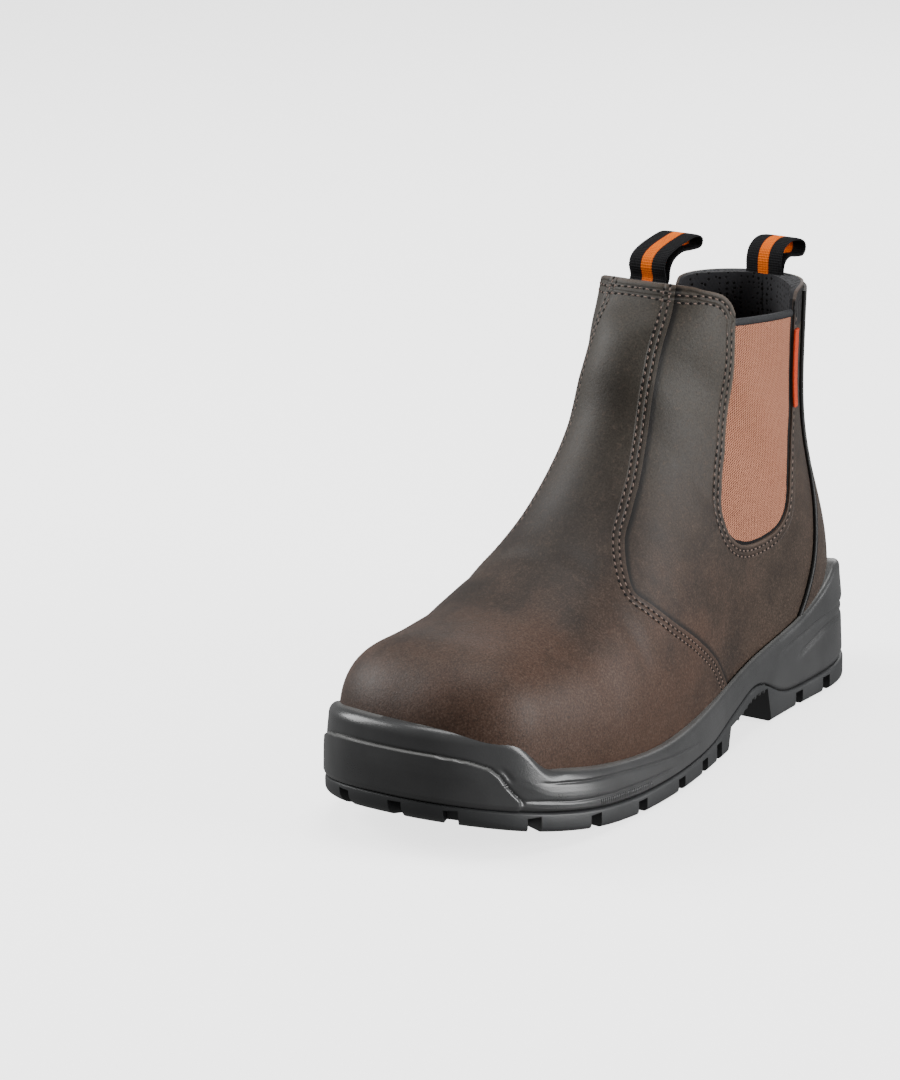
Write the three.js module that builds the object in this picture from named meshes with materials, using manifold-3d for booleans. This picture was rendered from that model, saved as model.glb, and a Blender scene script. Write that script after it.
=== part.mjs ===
// Side gore work boot, left foot: a leather upper with elastic side panels on a moulded sole.
// Millimetres, +Z up, toe towards -Y, lateral side towards +X, standing on Z = 0.
// Inside the file a place is (x, s, z): s runs along the boot from the back of the heel to the toe.

import * as THREE from "three";
import { mergeVertices } from "three/addons/utils/BufferGeometryUtils.js";
import Module from "manifold-3d";

const wasm = await Module();
wasm.setup();

// Driving sizes of the boot
const LENGTH = 305;          // outsole, heel to toe, EU 43
const SOLE_WIDTH = 117;      // outsole across the ball
const HEEL_WIDTH = 81;       // outsole across the heel
const BALL_WIDTH = 103;      // upper across the ball
const TOE_HEIGHT = 77;       // top of the toe cap
const INSTEP_HEIGHT = 128;   // instep above the waist
const SHAFT_HEIGHT = 196;    // collar at the shin
const HEEL_SEAT = 32;        // height of the seam where the upper meets the heel
const UPPER_WALL = 2.4;      // leather with its lining
const VAMP_LAP = 0.9;        // step where the vamp laps over the quarters
const CLEARANCE = 0.3;       // gap kept between neighbouring pieces
const LUG_HEIGHT = 8;        // tread blocks along the edge
const TREAD_DEPTH = 5;       // grooves in the tread
const TREAD_GROOVE = 4;      // width of a groove under the sole
const NOTCH_WIDTH = 6;       // gap between two edge blocks
const NOTCH_REACH = 15;      // how far that gap runs in from the edge
const TOE_SPRING = 16;       // rise of the tread at the toe tip
const SIDE_STEP = 1;         // depth of the moulded steps in the sole's side
const BUMPER_STEP = 0.9;     // how far the toe bumper stands out
const GORE_THICKNESS = 1.8;  // elastic side panel
const GORE_RECESS = 0.7;     // how far it lies below the leather
const GORE_MARGIN = 6;       // sewn margin behind the leather
const GORE_TAPE = 1.2;       // thickness of that margin
const BINDING_HEIGHT = 3.2;  // taped top edge of the gore
const BINDING_WIDTH = 3;     // thickness of that taped edge
const COUNTER_THICKNESS = 1.3;
const PIPING_WIDTH = 2.2;    // cord between quarter and heel counter
const PIPING_HEIGHT = 1.7;
const INSOLE_THICKNESS = 4;
const LOOP_WIDTH = 17.5;     // webbing of the pull loops
const LOOP_THICKNESS = 1.2;
const LOOP_RISE = 13.5;      // loop above the collar
const LOOP_DEPTH = 10;       // its ends, sewn down inside the collar
const FRONT_LOOP_REACH = 33; // how far the loops lean back
const BACK_LOOP_REACH = 23;
const TAB_LENGTH = 33;       // plain tab on the lateral gore
const TAB_WIDTH = 4.6;
const TAB_THICKNESS = 1.1;

// Detail of the faceted surfaces
const TIP_ROWS = 7;
const BODY_ROWS = 19;
const SIDE_COLUMNS = 10;
const SOLE_END_STEPS = 10;
const SOLE_BODY_STEPS = 15;

// Smooth curve through points, flat beyond its ends
function curveThrough(xs, ys) {
  const last = xs.length - 1;
  const gap = xs.slice(1).map((x, i) => x - xs[i]);
  const upper = [0];
  const right = [0];
  for (let i = 1; i < last; i++) {
    const slope = 6 * ((ys[i + 1] - ys[i]) / gap[i] - (ys[i] - ys[i - 1]) / gap[i - 1]);
    const pivot = 2 * (gap[i - 1] + gap[i]) - gap[i - 1] * upper[i - 1];
    upper.push(gap[i] / pivot);
    right.push((slope - gap[i - 1] * right[i - 1]) / pivot);
  }
  const bend = new Array(last + 1).fill(0);
  for (let i = last - 1; i > 0; i--) bend[i] = right[i] - upper[i] * bend[i + 1];
  return (at) => {
    const x = Math.min(Math.max(at, xs[0]), xs[last]);
    let i = 0;
    while (i < last - 1 && x > xs[i + 1]) i++;
    const a = (xs[i + 1] - x) / gap[i];
    const b = 1 - a;
    const curl = (a ** 3 - a) * bend[i] + (b ** 3 - b) * bend[i + 1];
    return a * ys[i] + b * ys[i + 1] + (curl * gap[i] ** 2) / 6;
  };
}

const columnCurve = (rows, key, value) => curveThrough(rows.map((r) => r[key]), rows.map(value));
const clamp01 = (value) => Math.min(Math.max(value, 0), 1);
const mix = (a, b, t) => a + (b - a) * t;

// Quarter of a superellipse: 1 at share 0, falling to 0 at share 1
const rounding = (share, power) => (1 - clamp01(share) ** power) ** (1 / power);

// Sections of the upper, from the toe tip up to the collar. Each is a plane across the boot from a
// point on the feather line or the heel's back to a point on the top line.
// back, front: shares of LENGTH; seat: share of HEEL_SEAT; toe, instep, shaft: shares of those heights;
// outer, inner: half widths as shares of BALL_WIDTH; belly: how far up the section is widest;
// foot: width at the feather line; power: roundness of the top
const SECTIONS = [
  { name: "nose", at: 0, back: 0.977, seat: 0.8, front: 0.976, toe: 0.988, instep: 0, shaft: 0,
    outer: 0.418, inner: 0.418, belly: 0.33, foot: 0.97, power: 2.6 },
  { name: "cap", at: 1, back: 0.859, seat: 0.66, front: 0.858, toe: 1, instep: 0, shaft: 0,
    outer: 0.452, inner: 0.456, belly: 0.33, foot: 0.96, power: 2.5 },
  { name: "cap end", at: 1.7, back: 0.774, seat: 0.58, front: 0.778, toe: 0.8, instep: 0.14, shaft: 0,
    outer: 0.485, inner: 0.49, belly: 0.3, foot: 0.95, power: 2.3 },
  { name: "ball", at: 2.6, back: 0.666, seat: 0.53, front: 0.681, toe: 0.35, instep: 0.504, shaft: 0,
    outer: 0.505, inner: 0.495, belly: 0.27, foot: 0.95, power: 2.1 },
  { name: "vamp", at: 3.45, back: 0.551, seat: 0.56, front: 0.603, toe: 0, instep: 0.848, shaft: 0,
    outer: 0.481, inner: 0.452, belly: 0.27, foot: 0.95, power: 2 },
  { name: "waist", at: 4.3, back: 0.42, seat: 0.72, front: 0.547, toe: 0, instep: 1, shaft: 0,
    outer: 0.437, inner: 0.403, belly: 0.3, foot: 0.94, power: 2 },
  { name: "instep", at: 5.1, back: 0.289, seat: 0.84, front: 0.508, toe: 0, instep: 0.8, shaft: 0.225,
    outer: 0.398, inner: 0.383, belly: 0.36, foot: 0.92, power: 2 },
  { name: "heel front", at: 5.9, back: 0.144, seat: 0.94, front: 0.489, toe: 0, instep: 0.5, shaft: 0.502,
    outer: 0.383, inner: 0.37, belly: 0.42, foot: 0.92, power: 2.1 },
  { name: "heel", at: 6.6, back: 0.0213, seat: 1, front: 0.471, toe: 0, instep: 0.3, shaft: 0.684,
    outer: 0.368, inner: 0.36, belly: 0.47, foot: 0.93, power: 2.2 },
];
// Sections that stand on the back line: rise is their height there, a share of SHAFT_HEIGHT
const SHAFT_SECTIONS = [
  { name: "counter", at: 7.3, back: 0.033, rise: 0.337, front: 0.452, toe: 0, instep: 0.1, shaft: 0.848,
    outer: 0.356, inner: 0.349, belly: 0.52, foot: 1, power: 2.35 },
  { name: "ankle", at: 8.1, back: 0.068, rise: 0.551, front: 0.43, toe: 0, instep: 0, shaft: 0.944,
    outer: 0.336, inner: 0.331, belly: 0.57, foot: 1, power: 2.6 },
  { name: "shaft", at: 9, back: 0.0656, rise: 0.776, front: 0.411, toe: 0, instep: 0, shaft: 0.98,
    outer: 0.322, inner: 0.318, belly: 0.6, foot: 1, power: 2.8 },
  { name: "collar", at: 10, back: 0.0577, rise: 1.02, front: 0.394, toe: 0, instep: 0, shaft: 1.02,
    outer: 0.322, inner: 0.318, belly: 0.62, foot: 1, power: 2.8 },
];
const ALL_SECTIONS = [...SECTIONS, ...SHAFT_SECTIONS];
const TIP_END = 1;                      // section where the toe's rounding ends
const HEEL_AT = 6.6;                    // section that passes through the heel's back
const COLLAR_AT = 10;
const TIP = { height: 0.545 * TOE_HEIGHT, width: 2.3, top: 2.3, base: 4.5, shift: -0.0194 * BALL_WIDTH };
const TIP_BEND_START = 0.623 * LENGTH;  // where the toe starts to turn inwards
const TIP_BEND_END = 0.977 * LENGTH;
const BACK_POWER = 2.3;
const BACK_ROUNDING = [                 // rounding of the heel: height, share of SHAFT_HEIGHT; reach, of BALL_WIDTH
  { height: 0.153, reach: 0.437 },
  { height: 0.357, reach: 0.456 },
  { height: 0.561, reach: 0.58 },
  { height: 1.02, reach: 0.573 },
];

const topHeight = (r) => r.toe * TOE_HEIGHT + r.instep * INSTEP_HEIGHT + r.shaft * SHAFT_HEIGHT;
const frontCurve = columnCurve(ALL_SECTIONS, "at", (r) => r.front * LENGTH);
const topCurve = columnCurve(ALL_SECTIONS, "at", topHeight);
const outerCurve = columnCurve(ALL_SECTIONS, "at", (r) => r.outer * BALL_WIDTH);
const innerCurve = columnCurve(ALL_SECTIONS, "at", (r) => r.inner * BALL_WIDTH);
const bellyCurve = columnCurve(ALL_SECTIONS, "at", (r) => r.belly);
const footCurve = columnCurve(ALL_SECTIONS, "at", (r) => r.foot);
const powerCurve = columnCurve(ALL_SECTIONS, "at", (r) => r.power);
const featherS = columnCurve(SECTIONS, "at", (r) => r.back * LENGTH);
const featherZ = columnCurve(SECTIONS, "at", (r) => r.seat * HEEL_SEAT);
const BACK_ROWS = [
  { at: HEEL_AT, z: HEEL_SEAT, s: SECTIONS.at(-1).back * LENGTH },
  ...SHAFT_SECTIONS.map((r) => ({ at: r.at, z: r.rise * SHAFT_HEIGHT, s: r.back * LENGTH })),
];
const backZ = columnCurve(BACK_ROWS, "at", (r) => r.z);
const backS = columnCurve(BACK_ROWS, "z", (r) => r.s);
const backReach = curveThrough(
  BACK_ROUNDING.map((r) => r.height * SHAFT_HEIGHT),
  BACK_ROUNDING.map((r) => r.reach * BALL_WIDTH),
);
const EDGE_FADE = 1.7;                  // sections over which an offset turns the toe's feather line
const HEEL_FADE = 4.3;                  // section from which it turns the heel's

// Point of the section on the feather line or on the back, for a form inset by `inset`
function basePoint(at, inset) {
  if (at > HEEL_AT) return { s: backS(backZ(at)) + inset, z: backZ(at) };
  const tip = rounding(1 - at / TIP_END, TIP.base);
  const turn = at < EDGE_FADE ? at / EDGE_FADE - 1 : clamp01((at - HEEL_FADE) / (HEEL_AT - HEEL_FADE));
  return { s: featherS(at) + inset * turn, z: mix(TIP.height, featherZ(at), tip) };
}

const rawTop = (at) => ({
  s: frontCurve(at),
  z: mix(TIP.height, topCurve(at), rounding(1 - at / TIP_END, TIP.top)),
});

// Point of the section on the top line, moved square to that line
function topPoint(at, inset) {
  const step = 1e-3;
  const before = rawTop(Math.max(at - step, 0));
  const after = rawTop(Math.min(at + step, COLLAR_AT));
  const length = Math.hypot(after.s - before.s, after.z - before.z);
  const here = rawTop(at);
  return {
    s: here.s - (inset * (after.z - before.z)) / length,
    z: here.z + (inset * (after.s - before.s)) / length,
  };
}

const centreLine = (s) => TIP.shift * Math.max(0, (s - TIP_BEND_START) / (TIP_BEND_END - TIP_BEND_START)) ** 2;

// The upper's surface. at: section; up: 0 at the base, 1 on the top line; side: 1 lateral, -1 medial
function upperPoint(at, up, side, inset = 0) {
  const base = basePoint(at, inset);
  const top = topPoint(at, inset);
  const s = mix(base.s, top.s, up);
  const z = mix(base.z, top.z, up);
  const belly = bellyCurve(at);
  const crown = rounding((up - belly) / (1 - belly), powerCurve(at));
  const foot = 1 - (1 - footCurve(at)) * clamp01((belly - up) / belly) ** 2;
  const behind = s - backS(Math.max(z, HEEL_SEAT)) - inset;
  const corner = rounding(1 - behind / (backReach(z) - inset), BACK_POWER);
  const wide = ((side > 0 ? outerCurve : innerCurve)(at) - inset) * rounding(1 - at / TIP_END, TIP.width);
  return [centreLine(s) + side * wide * crown * foot * corner, s, z];
}

// Rows and columns of the faceted form, closer together where it bends more
const TIP_SHARES = Array.from({ length: TIP_ROWS }, (_, i) => 1 - Math.cos((i / TIP_ROWS) * (Math.PI / 2)));
const BODY_STEPS = Array.from({ length: BODY_ROWS + 1 }, (_, i) => mix(TIP_END, COLLAR_AT, i / BODY_ROWS));
const HEEL_STEPS = [0.45, 0.3, 0.18, 0.09, 0.03, 0].map((back) => HEEL_AT - back);   // round the heel
const heelGap = (COLLAR_AT - TIP_END) / BODY_ROWS;
const ROWS = [
  ...TIP_SHARES,
  ...BODY_STEPS.filter((at) => at < HEEL_STEPS[0] - heelGap / 2),
  ...HEEL_STEPS,
  ...BODY_STEPS.filter((at) => at > HEEL_AT + heelGap / 2),
];
const COLUMNS = Array.from({ length: SIDE_COLUMNS + 1 }, (_, i) =>
  (0.5 - 0.5 * Math.cos((i / SIDE_COLUMNS) * Math.PI)) ** 0.9);

// Solids from triangles: points are [x, s, z] and turn into x, -s, z
class Builder {
  constructor() {
    this.points = [];
    this.faces = [];
  }
  add(point) {
    return this.points.push(point) - 1;
  }
  quad(a, b, c, d) {
    this.faces.push([a, b, c], [a, c, d]);
  }
  solid() {
    const flat = new Float32Array(this.points.flatMap(([x, s, z]) => [x, -s, z]));
    const geometry = new THREE.BufferGeometry();
    geometry.setAttribute("position", new THREE.BufferAttribute(flat, 3));
    geometry.setIndex(this.faces.flat());
    return toSolid(geometry);
  }
}

function toSolid(source) {
  const bare = new THREE.BufferGeometry();
  bare.setAttribute("position", source.getAttribute("position"));
  bare.setIndex(source.getIndex());
  const geometry = mergeVertices(bare, 1e-4);
  const index = geometry.getIndex().array;
  const faces = [];
  for (let i = 0; i < index.length; i += 3) {
    const [a, b, c] = [index[i], index[i + 1], index[i + 2]];
    if (a !== b && b !== c && c !== a) faces.push(a, b, c);
  }
  const mesh = new wasm.Mesh({
    numProp: 3,
    vertProperties: Float32Array.from(geometry.getAttribute("position").array),
    triVerts: Uint32Array.from(faces),
  });
  const solid = new wasm.Manifold(mesh);
  return solid.volume() < 0 ? flipped(mesh) : solid;
}

function flipped(mesh) {
  const faces = Uint32Array.from(mesh.triVerts);
  for (let i = 0; i < faces.length; i += 3) [faces[i], faces[i + 1]] = [faces[i + 1], faces[i]];
  return new wasm.Manifold(new wasm.Mesh({ numProp: 3, vertProperties: mesh.vertProperties, triVerts: faces }));
}

const cut = (solid, ...others) => others.reduce((rest, other) => rest.subtract(other), solid);
const join = (first, ...others) => others.reduce((whole, other) => whole.add(other), first);

// The main body of a cut piece, without the slivers that a cut can leave
const mainBody = (solid) => solid.decompose().reduce((a, b) => (a.volume() > b.volume() ? a : b));

// Closed skin over a stack of rings with the same number of points, ends filled by strips
function ringSolid(rings) {
  const builder = new Builder();
  const ids = rings.map((ring) => ring.map((point) => builder.add(point)));
  const count = rings[0].length;
  for (let i = 0; i + 1 < rings.length; i++) {
    for (let j = 0; j < count; j++) {
      const k = (j + 1) % count;
      builder.quad(ids[i][j], ids[i][k], ids[i + 1][k], ids[i + 1][j]);
    }
  }
  for (const [ring, turn] of [[ids[0], true], [ids.at(-1), false]]) {
    for (let j = 0; j < count / 2 - 1; j++) {
      const strip = [ring[j], ring[j + 1], ring[count - 2 - j], ring[count - 1 - j]];
      builder.quad(...(turn ? strip.reverse() : strip));
    }
  }
  return builder.solid();
}

// The whole foot and shaft as one closed form, inset by `inset` from the quarters' surface
function footForm(inset) {
  const rings = ROWS.map((at) => [
    ...COLUMNS.map((up) => upperPoint(at, up, 1, inset)),
    ...COLUMNS.toReversed().map((up) => upperPoint(at, up, -1, inset)),
  ]);
  return ringSolid(rings);
}

// That form with its underside carried down by `depth`
function footFormDown(inset, depth) {
  return join(footForm(inset), underside(inset, UPPER_WALL, -depth));
}

// Slab along the feather line, between two heights above it
function underside(inset, above, below) {
  const rings = ROWS.filter((at) => at > 0 && at <= HEEL_AT).map((at) => {
    const [outer, inner] = [1, -1].map((side) => upperPoint(at, 0, side, inset));
    const lift = ([x, s, z], by) => [x, s, z + by];
    return [lift(outer, above), lift(outer, below), lift(inner, below), lift(inner, above)];
  });
  return ringSolid(rings);
}

// Side-view outline as a prism across the boot, between two x values
function sideViewPrism(outline, from = -SOLE_WIDTH, to = SOLE_WIDTH) {
  const shape = new THREE.Shape(outline.map(([s, z]) => new THREE.Vector2(-s, z)));
  const geometry = new THREE.ExtrudeGeometry(shape, { depth: to - from, bevelEnabled: false });
  geometry.rotateX(Math.PI / 2).rotateZ(Math.PI / 2);
  geometry.translate(from, 0, 0);
  geometry.deleteAttribute("normal");
  geometry.deleteAttribute("uv");
  return toSolid(mergeVertices(geometry, 1e-4));
}

const LATERAL = [CLEARANCE, SOLE_WIDTH];
const MEDIAL = [-SOLE_WIDTH, -CLEARANCE];

// Seam where the vamp laps over a quarter: for a section, the quarter lies between low and high
const SEAM = [
  { at: 3.2, low: 0.765, high: 0.765 },
  { at: 3.32, low: 0.68, high: 0.83 },
  { at: 3.6, low: 0.52, high: 0.88 },
  { at: 3.95, low: 0.35, high: 0.893 },
  { at: 4.25, low: 0.18, high: 0.9 },
  { at: 4.42, low: 0, high: 0.903 },
  { at: 5, low: 0, high: 0.92 },
  { at: 5.8, low: 0, high: 0.94 },
  { at: 7.1, low: 0, high: 0.96 },
  { at: 9, low: 0, high: 0.98 },
  { at: 10, low: 0, high: 0.984 },
];
const seamBetween = (at, key) => {
  const next = Math.max(1, SEAM.findIndex((r) => r.at >= at));
  const [a, b] = [SEAM[next - 1], SEAM[next]];
  return mix(a[key], b[key], (at - a.at) / (b.at - a.at));
};
const QUARTER_ROWS = [SEAM[0].at, SEAM[1].at, ...ROWS.filter((at) => at > SEAM[1].at)];
const SEAM_CLEARANCE = 0.06 * CLEARANCE;   // the clearance, counted in sections
const QUARTER_OUTSIDE = 6;   // how far the cutting slab stands outside the upper
const BELOW_FEATHER = -0.04;

// Slab over a quarter, from outside the boot down to `inset`: what it takes off leaves the vamp
// proud. `behind` moves its seam towards the heel
function quarterSlab(side, inset, behind) {
  const rings = QUARTER_ROWS.map((at) => {
    const [low, high] = ["low", "high"].map((key) => seamBetween(Math.max(at - behind, SEAM[0].at), key));
    const ups = [BELOW_FEATHER, ...COLUMNS].map((up) =>
      Math.min(Math.max(up, low === 0 ? BELOW_FEATHER : low), high));
    const inside = ups.map((up) => upperPoint(at, up, side, inset));
    const outside = ups.map((up) => upperPoint(at, up, side, inset - QUARTER_OUTSIDE));
    return side > 0 ? [...inside, ...outside.reverse()] : [...outside, ...inside.reverse()];
  });
  return ringSolid(rings);
}
const quarterRecess = (inset, behind = 0) =>
  join(quarterSlab(1, inset, behind), quarterSlab(-1, inset, behind));

// Collar and gore outlines in side view: s as a share of LENGTH, z as a share of SHAFT_HEIGHT
const GORE_FRONT = [
  { s: 0.335, z: 0.894 }, { s: 0.343, z: 0.82 }, { s: 0.354, z: 0.745 }, { s: 0.368, z: 0.671 },
  { s: 0.385, z: 0.602 }, { s: 0.395, z: 0.541 }, { s: 0.396, z: 0.512 }, { s: 0.385, z: 0.46 },
  { s: 0.37, z: 0.438 },
];
const GORE_BOTTOM = [{ s: 0.326, z: 0.425 }, { s: 0.278, z: 0.424 }, { s: 0.24, z: 0.435 }, { s: 0.221, z: 0.449 }];
const GORE_BACK = [{ s: 0.216, z: 0.519 }, { s: 0.199, z: 0.6 }, { s: 0.178, z: 0.68 }, { s: 0.167, z: 0.862 }];
const COLLAR_FRONT = [
  { s: 0.334, z: 0.923 }, { s: 0.341, z: 0.945 }, { s: 0.355, z: 0.967 }, { s: 0.379, z: 0.982 },
  { s: 0.398, z: 0.993 }, { s: 0.46, z: 1 },
];
const COLLAR_BACK = [{ s: 0.166, z: 0.9 }, { s: 0.156, z: 0.916 }, { s: 0.118, z: 0.919 }, { s: 0.03, z: 0.91 }];
const placed = (rows) => rows.map((r) => [r.s * LENGTH, r.z * SHAFT_HEIGHT]);
const ABOVE = 1.3 * SHAFT_HEIGHT;

// Outline moved outwards or inwards by `by`, square to its edges
function offsetOutline(points, by) {
  const count = points.length;
  const area = points.reduce((sum, [x, y], i) => {
    const [u, v] = points[(i + 1) % count];
    return sum + x * v - u * y;
  }, 0);
  const turn = Math.sign(area);
  return points.map(([x, y], i) => {
    const [px, py] = points[(i + count - 1) % count];
    const [nx, ny] = points[(i + 1) % count];
    const before = new THREE.Vector2(y - py, px - x).normalize();
    const after = new THREE.Vector2(ny - y, x - nx).normalize();
    const normal = before.clone().add(after).normalize();
    const reach = (turn * by) / Math.max(normal.dot(before), 0.5);
    return [x + normal.x * reach, y + normal.y * reach];
  });
}

// All that is open above the collar line and the two gores, as one outline
const goreOutline = [...placed(GORE_FRONT), ...placed(GORE_BOTTOM), ...placed(GORE_BACK)];
const openOutline = [
  [LENGTH, ABOVE],
  [LENGTH, SHAFT_HEIGHT],
  ...placed(COLLAR_FRONT).toReversed(),
  ...goreOutline,
  ...placed(COLLAR_BACK),
  [-LENGTH, COLLAR_BACK.at(-1).z * SHAFT_HEIGHT],
  [-LENGTH, ABOVE],
];

function makeUpper() {
  const outer = cut(footForm(-VAMP_LAP), quarterRecess(0));
  const hollow = footFormDown(UPPER_WALL, HEEL_SEAT / 2);
  return cut(outer, hollow, sideViewPrism(openOutline));
}

// Layer of the foot's form between two depths, inside a side-view outline on one side
function layer(fromInset, toInset, outline, sides) {
  const shell = cut(footForm(fromInset), footForm(toInset));
  return shell.intersect(sideViewPrism(outline, ...sides));
}

function makeGore(sides) {
  const panel = layer(GORE_RECESS, GORE_RECESS + GORE_THICKNESS, offsetOutline(goreOutline, -CLEARANCE), sides);
  const depth = UPPER_WALL + CLEARANCE;
  const wide = offsetOutline(goreOutline, GORE_MARGIN);
  const top = Math.min(...[GORE_FRONT[0], GORE_BACK.at(-1)].map((r) => r.z * SHAFT_HEIGHT)) - CLEARANCE;
  const [frontTop, backTop] = [goreOutline[0], goreOutline.at(-1)];
  const below = wide.filter(([, z]) => z < top);
  const margin = layer(depth - CLEARANCE * 2, depth + GORE_TAPE, offsetOutline(goreOutline, -CLEARANCE), sides);
  const slope = (frontTop[1] - backTop[1]) / (frontTop[0] - backTop[0]);
  const edge = (s) => backTop[1] + slope * (s - backTop[0]) - CLEARANCE;
  const frontEnd = frontTop[0] + GORE_MARGIN;
  const backEnd = backTop[0] - GORE_MARGIN;
  const flange = layer(depth, depth + GORE_TAPE, [[frontEnd, edge(frontEnd)], ...below, [backEnd, edge(backEnd)]], sides);
  return join(panel, margin, flange);
}

// Taped top edge of a gore, a strip over its upper end
function makeBinding(sides) {
  const [frontS, frontZ] = goreOutline[0];
  const [backEndS, backEndZ] = goreOutline.at(-1);
  const gap = 2 * CLEARANCE;
  const strip = [
    [frontS - gap, frontZ],
    [frontS - gap, frontZ + BINDING_HEIGHT],
    [backEndS + gap, backEndZ + BINDING_HEIGHT],
    [backEndS + gap, backEndZ],
  ];
  return layer(GORE_RECESS / 2, GORE_RECESS / 2 + BINDING_WIDTH, strip, sides);
}

// Piping line between quarter and heel counter, in side view: s share of LENGTH, z share of SHAFT_HEIGHT
const PIPING = [
  { s: 0.192, z: 0.19 }, { s: 0.168, z: 0.25 }, { s: 0.146, z: 0.32 }, { s: 0.132, z: 0.4 },
  { s: 0.124, z: 0.48 }, { s: 0.122, z: 0.6 }, { s: 0.122, z: 0.76 }, { s: 0.12, z: 0.905 },
];
const pipingLine = placed(PIPING);

// The line moved towards the toe by `by`
const pipingShifted = (by) => pipingLine.map(([s, z], i) => {
  const [s0, z0] = pipingLine[Math.max(i - 1, 0)];
  const [s1, z1] = pipingLine[Math.min(i + 1, pipingLine.length - 1)];
  const length = Math.hypot(s1 - s0, z1 - z0);
  return [s + (by * (z1 - z0)) / length, z - (by * (s1 - s0)) / length];
});

// Height of the sole's rim: s share of LENGTH at the upper's surface, z share of SHAFT_HEIGHT
const RIM = [
  { s: 0, z: 0.258 }, { s: 0.03, z: 0.262 }, { s: 0.055, z: 0.274 }, { s: 0.082, z: 0.281 },
  { s: 0.11, z: 0.259 }, { s: 0.148, z: 0.228 },
  { s: 0.19, z: 0.203 }, { s: 0.226, z: 0.189 }, { s: 0.334, z: 0.161 }, { s: 0.41, z: 0.14 },
  { s: 0.518, z: 0.114 }, { s: 0.593, z: 0.105 }, { s: 0.675, z: 0.11 }, { s: 0.757, z: 0.126 },
  { s: 0.836, z: 0.15 }, { s: 0.869, z: 0.165 }, { s: 0.883, z: 0.178 }, { s: 0.893, z: 0.198 },
  { s: 0.911, z: 0.228 }, { s: 0.923, z: 0.242 }, { s: 0.944, z: 0.252 }, { s: 0.97, z: 0.268 },
  { s: 0.99, z: 0.276 },
];
const rimHeight = curveThrough(RIM.map((r) => r.s * LENGTH), RIM.map((r) => r.z * SHAFT_HEIGHT));

// Side-view area behind a line that runs up the boot
const behindLine = (line) => [[-LENGTH / 10, line[0][1]], ...line, [-LENGTH / 10, line.at(-1)[1]]];

function makeCounter() {
  const outline = behindLine(pipingShifted(-CLEARANCE));
  const shell = layer(-CLEARANCE - COUNTER_THICKNESS, -CLEARANCE, outline, [-SOLE_WIDTH, SOLE_WIDTH]);
  return cut(shell, underRim());
}

function makePiping(sides) {
  const strip = [...pipingLine, ...pipingShifted(PIPING_WIDTH).toReversed()];
  return cut(layer(-CLEARANCE - PIPING_HEIGHT, -CLEARANCE, strip, sides), underRim());
}

// Outline of the sole. Stations run from the heel's back to the toe tip, each with a lateral and a
// medial point. s: share of LENGTH; outer, inner: shares of SOLE_WIDTH or, at the heel, of HEEL_WIDTH
const HEEL_END = 0.138 * LENGTH;
const TOE_START = 0.738 * LENGTH;
const HEEL_POWER = 2.5;
const TOE_POWER = 2.34;
const TOE_SHIFT = -0.056 * SOLE_WIDTH;
const WAIST_ROWS = [
  { s: 0.138, heel: 0.5, outer: 0, inner: 0 },
  { s: 0.197, heel: 0.5, outer: 0.002, inner: 0.002 },
  { s: 0.295, heel: 0.5, outer: 0.015, inner: 0.004 },
  { s: 0.41, heel: 0.3, outer: 0.192, inner: 0.151 },
  { s: 0.492, heel: 0, outer: 0.444, inner: 0.389 },
  { s: 0.59, heel: 0, outer: 0.487, inner: 0.44 },
  { s: 0.672, heel: 0, outer: 0.501, inner: 0.487 },
  { s: 0.738, heel: 0, outer: 0.497, inner: 0.504 },
];
const waistCurve = (key) => curveThrough(
  WAIST_ROWS.map((r) => r.s * LENGTH),
  WAIST_ROWS.map((r) => r.heel * HEEL_WIDTH + r[key] * SOLE_WIDTH),
);
const waistOuter = waistCurve("outer");
const waistInner = waistCurve("inner");
const quarterTurn = (i) => (i / SOLE_END_STEPS) * (Math.PI / 2);
const arc = (angle, power) => [Math.sin(angle) ** (2 / power), Math.cos(angle) ** (2 / power)];

function soleStations() {
  const stations = [];
  for (let i = 0; i < SOLE_END_STEPS; i++) {
    const [wide, along] = arc(quarterTurn(i), HEEL_POWER);
    stations.push([HEEL_END * (1 - along), waistOuter(HEEL_END) * wide, -waistInner(HEEL_END) * wide]);
  }
  for (let i = 0; i < SOLE_BODY_STEPS; i++) {
    const s = mix(HEEL_END, TOE_START, i / SOLE_BODY_STEPS);
    stations.push([s, waistOuter(s), -waistInner(s)]);
  }
  for (let i = 0; i < SOLE_END_STEPS; i++) {
    const [along, wide] = arc(quarterTurn(i), TOE_POWER);
    const shift = TOE_SHIFT * along ** 2;
    const s = mix(TOE_START, LENGTH, along);
    stations.push([s, waistOuter(TOE_START) * wide + shift, -waistInner(TOE_START) * wide + shift]);
  }
  stations.push([LENGTH, TOE_SHIFT, TOE_SHIFT]);
  return stations;
}
const STATIONS = soleStations();
const soleLoop = [
  ...STATIONS.map(([s, lateral]) => [lateral, s]),
  ...STATIONS.map(([s, , medial]) => [medial, s]).reverse(),
];
const soleNormals = soleLoop.map((_, i) => {
  const count = soleLoop.length;
  const around = (k) => soleLoop[(i + k + count) % count];
  let [before, after] = [around(-1), around(1)];
  if (Math.hypot(before[0] - soleLoop[i][0], before[1] - soleLoop[i][1]) < 1e-6) before = around(-2);
  if (Math.hypot(after[0] - soleLoop[i][0], after[1] - soleLoop[i][1]) < 1e-6) after = around(2);
  const along = new THREE.Vector2(after[0] - before[0], after[1] - before[1]).normalize();
  return [along.y, -along.x];
});

// Ring of the sole's side: inset(s) from the outline, height(s, r), where r is the place of the
// rim's inner edge at that station
const RIM_DEPTH = 0.06 * SOLE_WIDTH;
const soleRing = (inset, height) => soleLoop.map(([x, s], i) => {
  const [nx, ns] = soleNormals[i];
  const by = inset(s);
  const moved = s - ns * by;
  return [x - nx * by, moved, height(moved, s - ns * RIM_DEPTH)];
});

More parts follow.
